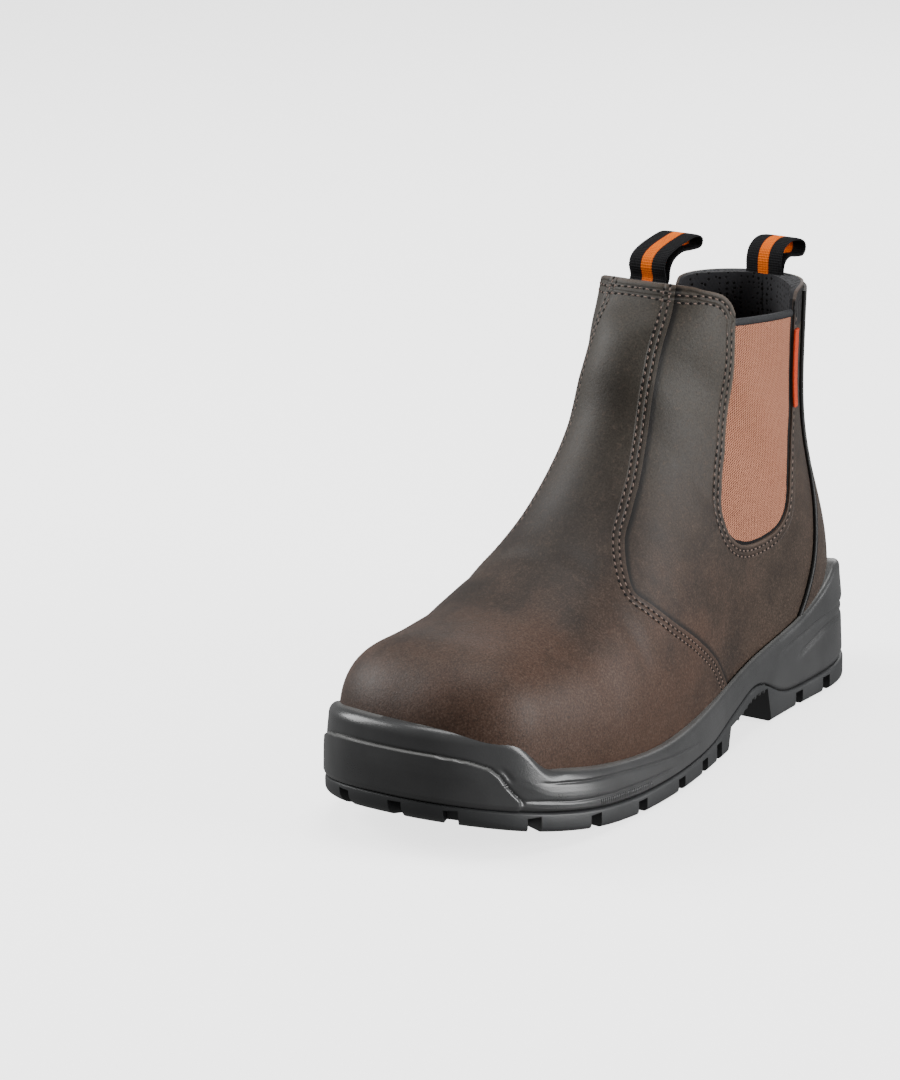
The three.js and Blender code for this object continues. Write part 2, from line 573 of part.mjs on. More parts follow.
// Side view of the tread: z of the ground side and of the seam between tread and midsole
const TREAD = [
  { s: -0.01, under: 0, seam: 1.44 }, { s: 0.066, under: 0, seam: 1.25 }, { s: 0.197, under: 0, seam: 1.06 },
  { s: 0.256, under: 0, seam: 1.38 }, { s: 0.305, under: 2, seam: 2.25 }, { s: 0.351, under: 1.94, seam: 2.4 },
  { s: 0.384, under: 1.54, seam: 2.05 }, { s: 0.425, under: 1.28, seam: 1.65 }, { s: 0.475, under: 0, seam: 1.2 },
  { s: 0.525, under: 0, seam: 1.04 }, { s: 0.69, under: 0, seam: 1 }, { s: 1.01, under: 0, seam: 1 },
];
const SPRING_START = 0.695 * LENGTH;
const SPRING_POWER = 1.6;
const spring = (s) => TOE_SPRING * clamp01((s - SPRING_START) / (LENGTH - SPRING_START)) ** SPRING_POWER;
const seamCurve = columnCurve(TREAD, "s", (r) => r.seam * LUG_HEIGHT);
const seamHeight = (s) => seamCurve(s / LENGTH) + spring(s);
const HEEL_BREAST = 0.28 * LENGTH;
const HEEL_BREAST_TOP = 0.3 * LENGTH;
const ARCH_TOP = [{ s: 0.3, z: 2 }, { s: 0.351, z: 1.94 }, { s: 0.384, z: 1.54 }, { s: 0.423, z: 1.3 }];
const FOREFOOT_BACK = 0.434 * LENGTH;

// Levels of the midsole's side. up: share of the way from seam to rim; lean: share of the shoulder
// inset; step: share of SIDE_STEP; bumper: share of BUMPER_STEP at the toe
const SIDE_LEVELS = [
  { name: "sill", up: 0, lean: 0, step: 1.3, bumper: 0 },
  { name: "foot", up: 0.08, lean: 0, step: 0.4, bumper: 1 },
  { name: "belly", up: 0.4, lean: 0.3, step: 0.2, bumper: 1 },
  { name: "under the groove", up: 0.56, lean: 0.4, step: 0.3, bumper: 1 },
  { name: "groove", up: 0.6, lean: 0.4, step: 1.3, bumper: 0 },
  { name: "band", up: 0.65, lean: 0.5, step: 0.9, bumper: 0 },
  { name: "brow", up: 0.86, lean: 0.85, step: 0.9, bumper: 0 },
  { name: "lip", up: 0.95, lean: 1, step: 1.3, bumper: 0 },
  { name: "crest", up: 1, lean: 1, step: 2.1, bumper: 0 },
];
const RIM_INSIDE = 0.14 * SOLE_WIDTH;
const SHOULDER = [   // inset of the rim from the outline: s share of LENGTH, by share of SOLE_WIDTH
  { s: 0, by: 0.036 }, { s: 0.03, by: 0.028 }, { s: 0.07, by: 0.015 }, { s: 0.14, by: 0.003 },
  { s: 0.3, by: 0 }, { s: 0.41, by: 0.004 }, { s: 0.49, by: 0.012 }, { s: 0.6, by: 0.026 },
  { s: 0.74, by: 0.026 }, { s: 0.86, by: 0.024 }, { s: 0.95, by: 0.02 }, { s: 1, by: 0.012 },
];
const shoulder = curveThrough(SHOULDER.map((r) => r.s * LENGTH), SHOULDER.map((r) => r.by * SOLE_WIDTH));
const BUMPER_START = 0.895 * LENGTH;
const BUMPER_FULL = 0.935 * LENGTH;
const bumperAt = (s) => clamp01((s - BUMPER_START) / (BUMPER_FULL - BUMPER_START));

// All that lies lower than the rim, with the clearance of what is seated above it
function underRim() {
  const top = (s, r) => rimHeight(r) + CLEARANCE;
  const outside = () => -RIM_INSIDE;
  const crest = (s) => levelInset(SIDE_LEVELS.at(-1), s);
  return ringSolid([
    soleRing(outside, () => 0),
    soleRing(outside, top),
    soleRing(crest, top),
    soleRing(() => RIM_INSIDE, top),
  ]);
}

const levelInset = (level, s) =>
  shoulder(s) * level.lean + SIDE_STEP * level.step - BUMPER_STEP * level.bumper * bumperAt(s);

const SEAT_CLEARANCE = 1.85 * CLEARANCE;   // round the upper, where their facets don't match
function makeMidsole() {
  const rings = SIDE_LEVELS.map((level) => soleRing(
    (s) => levelInset(level, s),
    (s, r) => mix(seamHeight(s) + CLEARANCE, rimHeight(r), level.up),
  ));
  rings.push(soleRing(() => RIM_INSIDE, (s, r) => rimHeight(r)));
  const block = ringSolid(rings);
  const seat = cut(
    footFormDown(-VAMP_LAP - SEAT_CLEARANCE, CLEARANCE),
    quarterRecess(-SEAT_CLEARANCE, SEAM_CLEARANCE),
  );
  return mainBody(cut(block, seat));
}

// Box across the boot with its own direction in plan: centre [x, s], length along the direction
function planBox(x, s, direction, long, wide, low, high) {
  const geometry = new THREE.BoxGeometry(long, wide, high - low);
  geometry.rotateZ(direction);
  geometry.translate(x, -s, (low + high) / 2);
  geometry.deleteAttribute("normal");
  geometry.deleteAttribute("uv");
  return toSolid(mergeVertices(geometry, 1e-4));
}

// Gaps between the edge blocks: s share of LENGTH, on both sides
const NOTCHES = [0.128, 0.203, 0.47, 0.522, 0.597, 0.702, 0.803, 0.898];
const TOE_NOTCHES = [-0.21, 0.01, 0.2];   // x across the toe tip, share of SOLE_WIDTH
const LUG_EDGE = 2;                       // rounding of the tread's lower edge

function notch([x, s], [nx, ns]) {
  const low = -LUG_HEIGHT;
  const high = seamHeight(s) - LUG_HEIGHT / 4;
  return planBox(x, s, Math.atan2(-ns, nx), 2 * NOTCH_REACH, NOTCH_WIDTH, low, high);
}

function nearestLoopPoint(test) {
  const best = soleLoop.reduce((found, point, i) => (test(point) < test(soleLoop[found]) ? i : found), 0);
  return [soleLoop[best], soleNormals[best]];
}

function edgeNotches() {
  const places = [];
  for (const side of [1, -1]) {
    for (const share of NOTCHES) {
      const s = share * LENGTH;
      const width = side > 0 ? waistOuter(s) : -waistInner(s);
      const onBody = s > HEEL_END && s < TOE_START;
      const found = nearestLoopPoint(([x, q]) => Math.abs(q - s) + (x * side < 0 ? LENGTH : 0));
      places.push(onBody ? [[width, s], found[1]] : found);
    }
  }
  for (const share of TOE_NOTCHES) {
    const x = share * SOLE_WIDTH;
    places.push(nearestLoopPoint(([px, q]) => Math.abs(px - x) + (q < TOE_START ? LENGTH : 0)));
  }
  return places.map(([point, normal]) => notch(point, normal));
}

// Grooves under the forefoot and heel that part the inner blocks
const CROSS_GROOVES = [0.075, 0.14, 0.205, 0.5, 0.56, 0.62, 0.68, 0.74, 0.8, 0.86];
const LONG_GROOVES = [
  { x: -0.19, from: 0.47, to: 0.86 }, { x: 0.19, from: 0.47, to: 0.86 },
  { x: -0.14, from: 0.06, to: 0.29 }, { x: 0.14, from: 0.06, to: 0.29 },
];
const CROSS_REACH = 0.32;                 // length of a cross groove, share of SOLE_WIDTH

function treadGrooves() {
  const cross = CROSS_GROOVES.map((share) => {
    const s = share * LENGTH;
    const low = spring(s) - LUG_HEIGHT;
    return planBox(0, s, 0, CROSS_REACH * SOLE_WIDTH, TREAD_GROOVE, low, spring(s) + TREAD_DEPTH);
  });
  const along = LONG_GROOVES.map((r) => {
    const middle = ((r.from + r.to) / 2) * LENGTH;
    const long = (r.to - r.from) * LENGTH;
    return planBox(r.x * SOLE_WIDTH, middle, Math.PI / 2, long, TREAD_GROOVE, -LUG_HEIGHT, TREAD_DEPTH);
  });
  return [...cross, ...along];
}

function makeOutsole() {
  const under = (s) => spring(s);
  const rings = [
    soleRing(() => LUG_EDGE, under),
    soleRing(() => LUG_EDGE / 4, (s) => under(s) + LUG_EDGE / 2),
    soleRing(() => 0, (s) => seamHeight(s) - SIDE_STEP),
    soleRing(() => SIDE_STEP * 1.3, (s) => seamHeight(s)),
  ];
  const arch = [
    [HEEL_BREAST, -LUG_HEIGHT],
    ...ARCH_TOP.map((r) => [r.s * LENGTH, r.z * LUG_HEIGHT]),
    [FOREFOOT_BACK, 0],
    [FOREFOOT_BACK, -LUG_HEIGHT],
  ];
  return cut(ringSolid(rings), sideViewPrism(arch), ...edgeNotches(), ...treadGrooves());
}

// Footbed that lies inside the upper on the midsole
function makeInsole() {
  const inset = UPPER_WALL + CLEARANCE;
  return underside(inset, INSOLE_THICKNESS, 0).intersect(footForm(inset));
}

// Pull loops: webbing folded into a flat loop that leans back. Points follow the middle of the tape;
// back is a share of the loop's reach, up a share of LOOP_RISE
const FRONT_LOOP = [
  { back: -0.085, up: -0.37 }, { back: -0.01, up: -0.06 }, { back: -0.02, up: 0.13 },
  { back: -0.04, up: 0.33 }, { back: 0.015, up: 0.59 }, { back: 0.173, up: 0.78 },
  { back: 0.43, up: 0.92 }, { back: 0.703, up: 1 }, { back: 0.85, up: 0.86 }, { back: 0.81, up: 0.64 },
  { back: 0.627, up: 0.63 }, { back: 0.385, up: 0.66 }, { back: 0.185, up: 0.504 },
  { back: 0.09, up: 0.22 }, { back: 0.07, up: -0.074 }, { back: -0.01, up: -0.4 },
];
const BACK_LOOP = [
  { back: -0.1, up: -0.37 }, { back: -0.1, up: 0.12 }, { back: -0.09, up: 0.56 },
  { back: 0.017, up: 0.89 }, { back: 0.257, up: 1.08 }, { back: 0.54, up: 1.07 },
  { back: 0.757, up: 0.926 }, { back: 0.81, up: 0.71 }, { back: 0.713, up: 0.52 },
  { back: 0.5, up: 0.55 }, { back: 0.257, up: 0.61 }, { back: 0.08, up: 0.49 },
  { back: 0.004, up: 0.19 }, { back: 0, up: -0.4 },
];
const LOOP_STEPS = 40;
const LOOP_BEND = 0.15 * LOOP_WIDTH;      // how far the collar curves in behind the tape's edges
const LOOP_SEAT = UPPER_WALL + 2 * CLEARANCE + LOOP_THICKNESS / 2;
const shinS = curveThrough(SHAFT_SECTIONS.map(topHeight), SHAFT_SECTIONS.map((r) => r.front * LENGTH));

// foot: [s, z] on the collar; lean: how far the sewn ends slope towards the toe, s per z
function makeLoop(rows, [footS, footZ], reach, lean) {
  const points = rows.map((r) => [footS - r.back * reach, footZ + r.up * LOOP_RISE]);
  const down = ([s, z]) => [s - lean * (footZ - LOOP_DEPTH - z), footZ - LOOP_DEPTH];
  const path = new THREE.CatmullRomCurve3(
    [down(points[0]), ...points, down(points.at(-1))].map(([s, z]) => new THREE.Vector3(0, s, z)));
  const rings = Array.from({ length: LOOP_STEPS + 1 }, (_, i) => {
    const here = path.getPointAt(i / LOOP_STEPS);
    const along = path.getTangentAt(i / LOOP_STEPS);
    const [ns, nz] = [along.z, -along.y].map((value) => (value * LOOP_THICKNESS) / 2);
    return [[1, 1], [1, -1], [-1, -1], [-1, 1]].map(([side, face]) =>
      [(side * LOOP_WIDTH) / 2, here.y + face * ns, here.z + face * nz]);
  });
  return ringSolid(rings);
}

function makeFrontLoop() {
  const lean = (shinS(SHAFT_HEIGHT - LOOP_DEPTH) - shinS(SHAFT_HEIGHT)) / LOOP_DEPTH;
  const foot = shinS(SHAFT_HEIGHT) - LOOP_SEAT * Math.hypot(1, lean) - LOOP_BEND / 3;
  return makeLoop(FRONT_LOOP, [foot, SHAFT_HEIGHT], FRONT_LOOP_REACH, lean);
}

function makeBackLoop() {
  const height = COLLAR_BACK.at(-1).z * SHAFT_HEIGHT;
  const lean = (backS(height - LOOP_DEPTH) - backS(height)) / LOOP_DEPTH;
  const foot = backS(height) + LOOP_SEAT + LOOP_BEND;
  return makeLoop(BACK_LOOP, [foot, height], BACK_LOOP_REACH, lean);
}

// Plain tab sewn on the gore's back edge, on the lateral side
const TAB_LOW = 0.665;                    // share of SHAFT_HEIGHT
function makeTab() {
  const low = TAB_LOW * SHAFT_HEIGHT;
  const [backLowS, backTopS] = [GORE_BACK[2], GORE_BACK[3]].map((r) => r.s * LENGTH);
  const [backLowZ, backTopZ] = [GORE_BACK[2], GORE_BACK[3]].map((r) => r.z * SHAFT_HEIGHT);
  const edge = (z) => mix(backLowS, backTopS, (z - backLowZ) / (backTopZ - backLowZ));
  const high = low + TAB_LENGTH;
  const outline = [[edge(low), low], [edge(low) - TAB_WIDTH, low], [edge(high) - TAB_WIDTH, high], [edge(high), high]];
  return layer(-CLEARANCE - TAB_THICKNESS, -CLEARANCE, outline, LATERAL);
}

const COLOURS = {
  leather: { color: 0x3c312a, roughness: 0.62, metalness: 0 },
  counter: { color: 0x4a3b34, roughness: 0.6, metalness: 0 },
  piping: { color: 0x141313, roughness: 0.5, metalness: 0 },
  elastic: { color: 0xa5735f, roughness: 0.85, metalness: 0 },
  binding: { color: 0x2b2b2d, roughness: 0.8, metalness: 0 },
  midsole: { color: 0x3f4142, roughness: 0.5, metalness: 0 },
  tread: { color: 0x333435, roughness: 0.55, metalness: 0 },
  insole: { color: 0x232325, roughness: 0.9, metalness: 0 },
  webbing: { color: 0x1b1b1c, roughness: 0.85, metalness: 0 },
  tab: { color: 0xe8551f, roughness: 0.7, metalness: 0 },
};

function nodeMesh(name, solid, look) {
  const { vertProperties, triVerts } = solid.getMesh();
  const geometry = new THREE.BufferGeometry();
  geometry.setAttribute("position", new THREE.BufferAttribute(Float32Array.from(vertProperties), 3));
  geometry.setIndex(Array.from(triVerts));
  geometry.computeVertexNormals();
  const mesh = new THREE.Mesh(geometry, new THREE.MeshStandardMaterial(COLOURS[look]));
  mesh.name = name;
  return mesh;
}

const boot = new THREE.Group();
boot.add(
  nodeMesh("upper", makeUpper(), "leather"),
  nodeMesh("gore_lateral", makeGore(LATERAL), "elastic"),
  nodeMesh("gore_medial", makeGore(MEDIAL), "elastic"),
  nodeMesh("gore_binding_lateral", makeBinding(LATERAL), "binding"),
  nodeMesh("gore_binding_medial", makeBinding(MEDIAL), "binding"),
  nodeMesh("heel_counter", makeCounter(), "counter"),
  nodeMesh("piping_lateral", makePiping(LATERAL), "piping"),
  nodeMesh("piping_medial", makePiping(MEDIAL), "piping"),
  nodeMesh("insole", makeInsole(), "insole"),
  nodeMesh("midsole", makeMidsole(), "midsole"),
  nodeMesh("outsole", makeOutsole(), "tread"),
  nodeMesh("pull_loop_front", makeFrontLoop(), "webbing"),
  nodeMesh("pull_loop_back", makeBackLoop(), "webbing"),
  nodeMesh("side_tab", makeTab(), "tab"),
);

// Stand the boot on Z = 0 with its bounding box centred over the origin
const box = new THREE.Box3().setFromObject(boot);
boot.position.set(-(box.min.x + box.max.x) / 2, -(box.min.y + box.max.y) / 2, -box.min.z);
const group = new THREE.Group();
group.add(boot);

export default group;
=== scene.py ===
"""Side gore work boot, left foot: its looks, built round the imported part.

A leather upper with a lapped vamp, elastic side gores with taped tops, a piped heel counter, a
perforated lining, a footbed, a moulded sole with toe bumper and edge lugs, and two pull loops.
Shapes are worked out in millimetres as (x, s, z), s running from the back of the heel to the toe,
and placed in metres in the part's own frame.
"""

import logging
import math
from dataclasses import dataclass, field
from enum import Enum
from typing import Any, Callable, Sequence

import bmesh
import bpy
import numpy as np
from mathutils import Matrix, Vector
from mathutils.bvhtree import BVHTree
from mathutils.kdtree import KDTree

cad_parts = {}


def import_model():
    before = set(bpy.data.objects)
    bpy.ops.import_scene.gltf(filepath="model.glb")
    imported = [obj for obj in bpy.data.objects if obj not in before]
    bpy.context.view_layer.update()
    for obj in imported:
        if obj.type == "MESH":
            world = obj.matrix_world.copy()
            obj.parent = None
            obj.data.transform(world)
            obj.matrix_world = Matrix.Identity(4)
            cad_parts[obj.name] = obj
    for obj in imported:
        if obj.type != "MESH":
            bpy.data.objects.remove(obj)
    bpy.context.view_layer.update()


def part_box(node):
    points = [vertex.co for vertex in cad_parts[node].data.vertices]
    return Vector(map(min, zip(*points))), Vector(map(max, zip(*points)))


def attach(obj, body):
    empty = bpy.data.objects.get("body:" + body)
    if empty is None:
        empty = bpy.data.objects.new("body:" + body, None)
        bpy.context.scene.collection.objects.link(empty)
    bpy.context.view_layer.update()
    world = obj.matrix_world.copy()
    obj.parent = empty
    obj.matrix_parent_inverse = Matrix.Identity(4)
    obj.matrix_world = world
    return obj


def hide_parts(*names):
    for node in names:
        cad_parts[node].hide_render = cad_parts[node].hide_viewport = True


LOG = logging.getLogger("work_boot")
BODY = "root"
LATERAL, MEDIAL = 1.0, -1.0
Array = np.ndarray


class Cut(Enum):
    """How one solid works on another."""

    TAKE_AWAY = "DIFFERENCE"
    KEEP_COMMON = "INTERSECT"


class Bead(Enum):
    """Small shapes that repeat along a row."""

    THREAD = "GeometryNodeMeshUVSphere"
    RIB = "GeometryNodeMeshCylinder"


# Curves and forms


class Spline:
    """Smooth curve through points, flat beyond its ends."""

    def __init__(self, xs: Sequence[float], ys: Sequence[float]) -> None:
        """Solve the bends of the curve.

        Args:
            xs: rising places.
            ys: value at each place.
        """
        self.xs = np.asarray(xs, float)
        self.ys = np.asarray(ys, float)
        gap = np.diff(self.xs)
        slope = np.diff(self.ys) / gap
        count = len(self.xs)
        system = np.eye(count)
        right = np.zeros(count)
        for i in range(1, count - 1):
            system[i, i - 1:i + 2] = gap[i - 1], 2 * (gap[i - 1] + gap[i]), gap[i]
            right[i] = 6 * (slope[i] - slope[i - 1])
        self.gap = gap
        self.bend = np.linalg.solve(system, right)

    def __call__(self, at: Any) -> Array:
        """Value of the curve.

        Args:
            at: a place or an array of places.

        Returns:
            The values there.
        """
        x = np.clip(np.asarray(at, float), self.xs[0], self.xs[-1])
        i = np.clip(np.searchsorted(self.xs, x, side="right") - 1, 0, len(self.gap) - 1)
        a = (self.xs[i + 1] - x) / self.gap[i]
        b = 1 - a
        curl = (a ** 3 - a) * self.bend[i] + (b ** 3 - b) * self.bend[i + 1]
        return a * self.ys[i] + b * self.ys[i + 1] + curl * self.gap[i] ** 2 / 6


def rounding(share: Any, power: Any) -> Array:
    """Quarter of a superellipse: 1 at share 0, falling to 0 at share 1."""
    return (1 - np.clip(share, 0, 1) ** power) ** (1 / power)


def mix(a: Any, b: Any, t: Any) -> Any:
    """Value between a and b."""
    return a + (b - a) * t


def smooth(value: Any, low: float, high: float) -> Array:
    """Soft step from 0 at low to 1 at high."""
    t = np.clip((np.asarray(value, float) - low) / (high - low), 0, 1)
    return t * t * (3 - 2 * t)


def distance_to_line(s: Array, z: Array, line: Sequence[tuple[float, float]]) -> tuple[Array, Array]:
    """Distance of side-view points from a broken line.

    Args:
        s: places along the boot.
        z: heights.
        line: corners of the line.

    Returns:
        The distances, and how far along the line (0 to 1) the nearest place is.
    """
    corners = np.asarray(line, float)
    lengths = np.hypot(*np.diff(corners, axis=0).T)
    starts = np.concatenate([[0], np.cumsum(lengths)])
    best = np.full(np.shape(s), 1e9)
    share = np.zeros(np.shape(s))
    for (a, b), run, start in zip(zip(corners[:-1], corners[1:]), lengths, starts):
        t = np.clip(((s - a[0]) * (b[0] - a[0]) + (z - a[1]) * (b[1] - a[1])) / run ** 2, 0, 1)
        far = np.hypot(s - mix(a[0], b[0], t), z - mix(a[1], b[1], t))
        near = far < best
        best = np.where(near, far, best)
        share = np.where(near, (start + t * run) / starts[-1], share)
    return best, share


def smooth_line(corners: Sequence[tuple[float, float]], steps: int = 8) -> list[tuple[float, float]]:
    """Rounded version of a broken line (Catmull-Rom through its corners).

    Args:
        corners: corners of the line.
        steps: pieces between two corners.

    Returns:
        The finer line.
    """
    p = np.asarray(corners, float)
    p = np.vstack([2 * p[0] - p[1], p, 2 * p[-1] - p[-2]])
    out = []
    for a, b, c, d in zip(p[:-3], p[1:-2], p[2:-1], p[3:]):
        for t in np.arange(steps) / steps:
            out.append(0.5 * (2 * b + (c - a) * t + (2 * a - 5 * b + 4 * c - d) * t ** 2
                              + (3 * b - a - 3 * c + d) * t ** 3))
    return [tuple(q) for q in [*out, p[-2]]]


@dataclass(frozen=True)
class Section:
    """A plane across the upper, from the feather line or the back to the top line."""

    at: float
    back: float
    seat: float
    front: float
    top: float
    outer: float
    inner: float
    belly: float
    foot: float
    power: float


# at, back s, its height, front s, its height, half widths, belly, foot, power
SECTIONS = [
    Section(0, 298.0, 25.6, 297.7, 76.1, 43.1, 43.1, 0.33, 0.97, 2.6),
    Section(1, 262.0, 21.1, 261.7, 77.0, 46.6, 47.0, 0.33, 0.96, 2.5),
    Section(1.7, 236.1, 18.6, 237.3, 79.5, 50.0, 50.5, 0.3, 0.95, 2.3),
    Section(2.6, 203.1, 17.0, 207.7, 91.5, 52.0, 51.0, 0.27, 0.95, 2.1),
    Section(3.45, 168.1, 17.9, 183.9, 108.5, 49.5, 46.6, 0.27, 0.95, 2.0),
    Section(4.3, 128.1, 23.0, 166.8, 128.0, 45.0, 41.5, 0.3, 0.94, 2.0),
    Section(5.1, 88.1, 26.9, 154.9, 146.5, 41.0, 39.4, 0.36, 0.92, 2.0),
    Section(5.9, 43.9, 30.1, 149.1, 162.4, 39.4, 38.1, 0.42, 0.92, 2.1),
    Section(6.6, 6.5, 32.0, 143.7, 172.5, 37.9, 37.1, 0.47, 0.93, 2.2),
    Section(7.3, 10.1, 66.1, 137.9, 179.0, 36.7, 35.9, 0.52, 1.0, 2.35),
    Section(8.1, 20.7, 108.0, 131.2, 185.0, 34.6, 34.1, 0.57, 1.0, 2.6),
    Section(9, 20.0, 152.1, 125.4, 192.1, 33.2, 32.8, 0.6, 1.0, 2.8),
    Section(10, 17.6, 199.9, 120.2, 199.9, 33.2, 32.8, 0.62, 1.0, 2.8),
]


@dataclass
class Last:
    """The foot's form. Every surface of the upper is this form, moved in or out.

    Each surface point has a section `at` (0 at the toe tip, 10 at the collar), a share `up` of the
    way from its base to the top line, a side, and an inset.
    """

    heel_at: float = 6.6
    collar_at: float = 10.0
    tip_height: float = 42.0
    tip_width: float = 2.3
    tip_top: float = 2.3
    tip_base: float = 4.5
    tip_shift: float = -2.0
    bend_start: float = 190.0
    bend_end: float = 298.0
    back_power: float = 2.3
    heel_seat: float = 32.0

    def __post_init__(self) -> None:
        """Lay the curves through the sections."""
        at = [r.at for r in SECTIONS]
        foot_rows = [r for r in SECTIONS if r.at <= self.heel_at]
        back_rows = [r for r in SECTIONS if r.at >= self.heel_at]
        self.front_s = Spline(at, [r.front for r in SECTIONS])
        self.front_z = Spline(at, [r.top for r in SECTIONS])
        self.outer = Spline(at, [r.outer for r in SECTIONS])
        self.inner = Spline(at, [r.inner for r in SECTIONS])
        self.belly = Spline(at, [r.belly for r in SECTIONS])
        self.foot = Spline(at, [r.foot for r in SECTIONS])
        self.power = Spline(at, [r.power for r in SECTIONS])
        self.feather_s = Spline([r.at for r in foot_rows], [r.back for r in foot_rows])
        self.feather_z = Spline([r.at for r in foot_rows], [r.seat for r in foot_rows])
        self.back_z = Spline([r.at for r in back_rows], [r.seat for r in back_rows])
        self.back_s = Spline([r.seat for r in back_rows], [r.back for r in back_rows])
        self.reach = Spline([30, 70, 110, 200], [45, 47, 59.7, 59])

    def base(self, at: Array, inset: Array) -> tuple[Array, Array]:
        """Base point of a section, with the corner under the heel rounded: s and z."""
        spread_by = 0.42 * np.exp(-((at - self.heel_at) / 0.6) ** 4)
        points = [self.raw_base(at + k * spread_by, inset) for k in (-1, -0.66, -0.33, 0, 0.33, 0.66, 1)]
        return tuple(sum(p[i] for p in points) / len(points) for i in (0, 1))

    def raw_base(self, at: Array, inset: Array) -> tuple[Array, Array]:
        """Base point of a section: s and z."""
        tip = rounding(1 - at, self.tip_base)
        turn = np.where(at < 1.7, at / 1.7 - 1, np.clip((at - 4.3) / (self.heel_at - 4.3), 0, 1))
        low_s = self.feather_s(at) + inset * turn
        low_z = mix(self.tip_height, self.feather_z(at), tip)
        high_z = self.back_z(at)
        behind = at > self.heel_at
        return (np.where(behind, self.back_s(high_z) + inset, low_s), np.where(behind, high_z, low_z))

    def raw_top(self, at: Array) -> tuple[Array, Array]:
        """Top line before any inset: s and z."""
        tip = rounding(1 - at, self.tip_top)
        return self.front_s(at), mix(self.tip_height, self.front_z(at), tip)

    def top(self, at: Array, inset: Array) -> tuple[Array, Array]:
        """Top point of a section, moved square to the top line: s and z."""
        before = self.raw_top(np.maximum(at - 1e-3, 0))
        after = self.raw_top(np.minimum(at + 1e-3, self.collar_at))
        run_s, run_z = after[0] - before[0], after[1] - before[1]
        length = np.hypot(run_s, run_z)
        s, z = self.raw_top(at)
        return s - inset * run_z / length, z + inset * run_s / length

    def relief(self, at: Array, up: Array, side: Array) -> Array:
        """Soft unevenness of the leather, outwards in mm."""
        low = np.sin(2.1 * at + 5.2 * up + 0.8 * side * (1 - up) ** 2) * np.sin(1.3 * at - 4.1 * up + 2.0)
        cap = np.exp(-((at - 1.95 - 0.5 * (1 - up) ** 1.5) / 0.2) ** 2) * smooth(up, 0.2, 0.55)
        bend = np.exp(-((at - 2.75 - 0.35 * (1 - up) ** 2) / 0.1) ** 2) * smooth(up, 0.3, 0.7)
        ridge = np.exp(-((at - 2.98 - 0.35 * (1 - up) ** 2) / 0.12) ** 2) * smooth(up, 0.3, 0.7)
        ankle = np.exp(-((at - 5.35 + 0.6 * (up - 0.55)) / 0.16) ** 2) * np.exp(-((up - 0.62) / 0.22) ** 2)
        upright = np.exp(-((at - 6.1 + 0.5 * (up - 0.5)) / 0.18) ** 2) * np.exp(-((up - 0.66) / 0.2) ** 2)
        fade = smooth(at, 0.2, 1.0)
        return fade * (0.25 * low - 0.55 * cap - 0.4 * bend + 0.25 * ridge - 0.6 * ankle + 0.35 * upright)

    def point(self, at: Any, up: Any, side: Any, inset: Any) -> Array:
        """Points of the form.

        Args:
            at: section.
            up: share of the way up that section.
            side: LATERAL or MEDIAL.
            inset: how far inside the quarters' surface.

        Returns:
            Array of (x, s, z).
        """
        at, up, side, inset = (np.asarray(v, float) for v in np.broadcast_arrays(at, up, side, inset))
        inset = inset - self.relief(at, up, side)
        base_s, base_z = self.base(at, inset)
        top_s, top_z = self.top(at, inset)
        s, z = mix(base_s, top_s, up), mix(base_z, top_z, up)
        belly = self.belly(at)
        crown = rounding((up - belly) / (1 - belly), self.power(at))
        foot = 1 - (1 - self.foot(at)) * np.clip((belly - up) / belly, 0, 1) ** 2
        behind = s - self.back_s(np.maximum(z, self.heel_seat)) - inset
        corner = rounding(1 - behind / (self.reach(z) - inset), self.back_power)
        half = np.where(side > 0, self.outer(at), self.inner(at))
        wide = (half - inset) * rounding(1 - at, self.tip_width)
        bend = np.clip((s - self.bend_start) / (self.bend_end - self.bend_start), 0, None)
        x = self.tip_shift * bend ** 2 + side * wide * crown * foot * corner
        return np.stack([x, s, z], axis=-1)

    def section_of(self, s: Any, z: Any, inset: Any) -> tuple[Array, Array]:
        """Section and share up of side-view points.

        Args:
            s: places along the boot.
            z: heights.
            inset: depth of the surface.

        Returns:
            `at` and `up` of each point.
        """
        s, z, inset = (np.asarray(v, float) for v in np.broadcast_arrays(s, z, inset))
        low, high = np.full(s.shape, 1.2), np.full(s.shape, self.collar_at)
        for _ in range(34):
            at = (low + high) / 2
            (bs, bz), (ts, tz) = self.base(at, inset), self.top(at, inset)
            above = (ts - bs) * (z - bz) - (tz - bz) * (s - bs) > 0
            low, high = np.where(above, at, low), np.where(above, high, at)
        up = ((s - bs) * (ts - bs) + (z - bz) * (tz - bz)) / ((ts - bs) ** 2 + (tz - bz) ** 2)
        return at, np.clip(up, 0, 1)

    def side_point(self, s: Any, z: Any, side: float, inset: Any) -> Array:
        """Points of the form seen at s and z from one side."""
        at, up = self.section_of(s, z, inset)
        return self.point(at, up, side, inset)


# Seam where the vamp laps over a quarter: section, and the quarter's low and high edge there
SEAM_ROWS = [(3.2, 0.765, 0.765), (3.32, 0.68, 0.83), (3.6, 0.52, 0.88), (3.95, 0.35, 0.893),
             (4.25, 0.18, 0.9), (4.42, 0, 0.903), (5, 0, 0.92), (5.8, 0, 0.94), (7.1, 0, 0.96),
             (9, 0, 0.98), (10, 0, 0.984)]
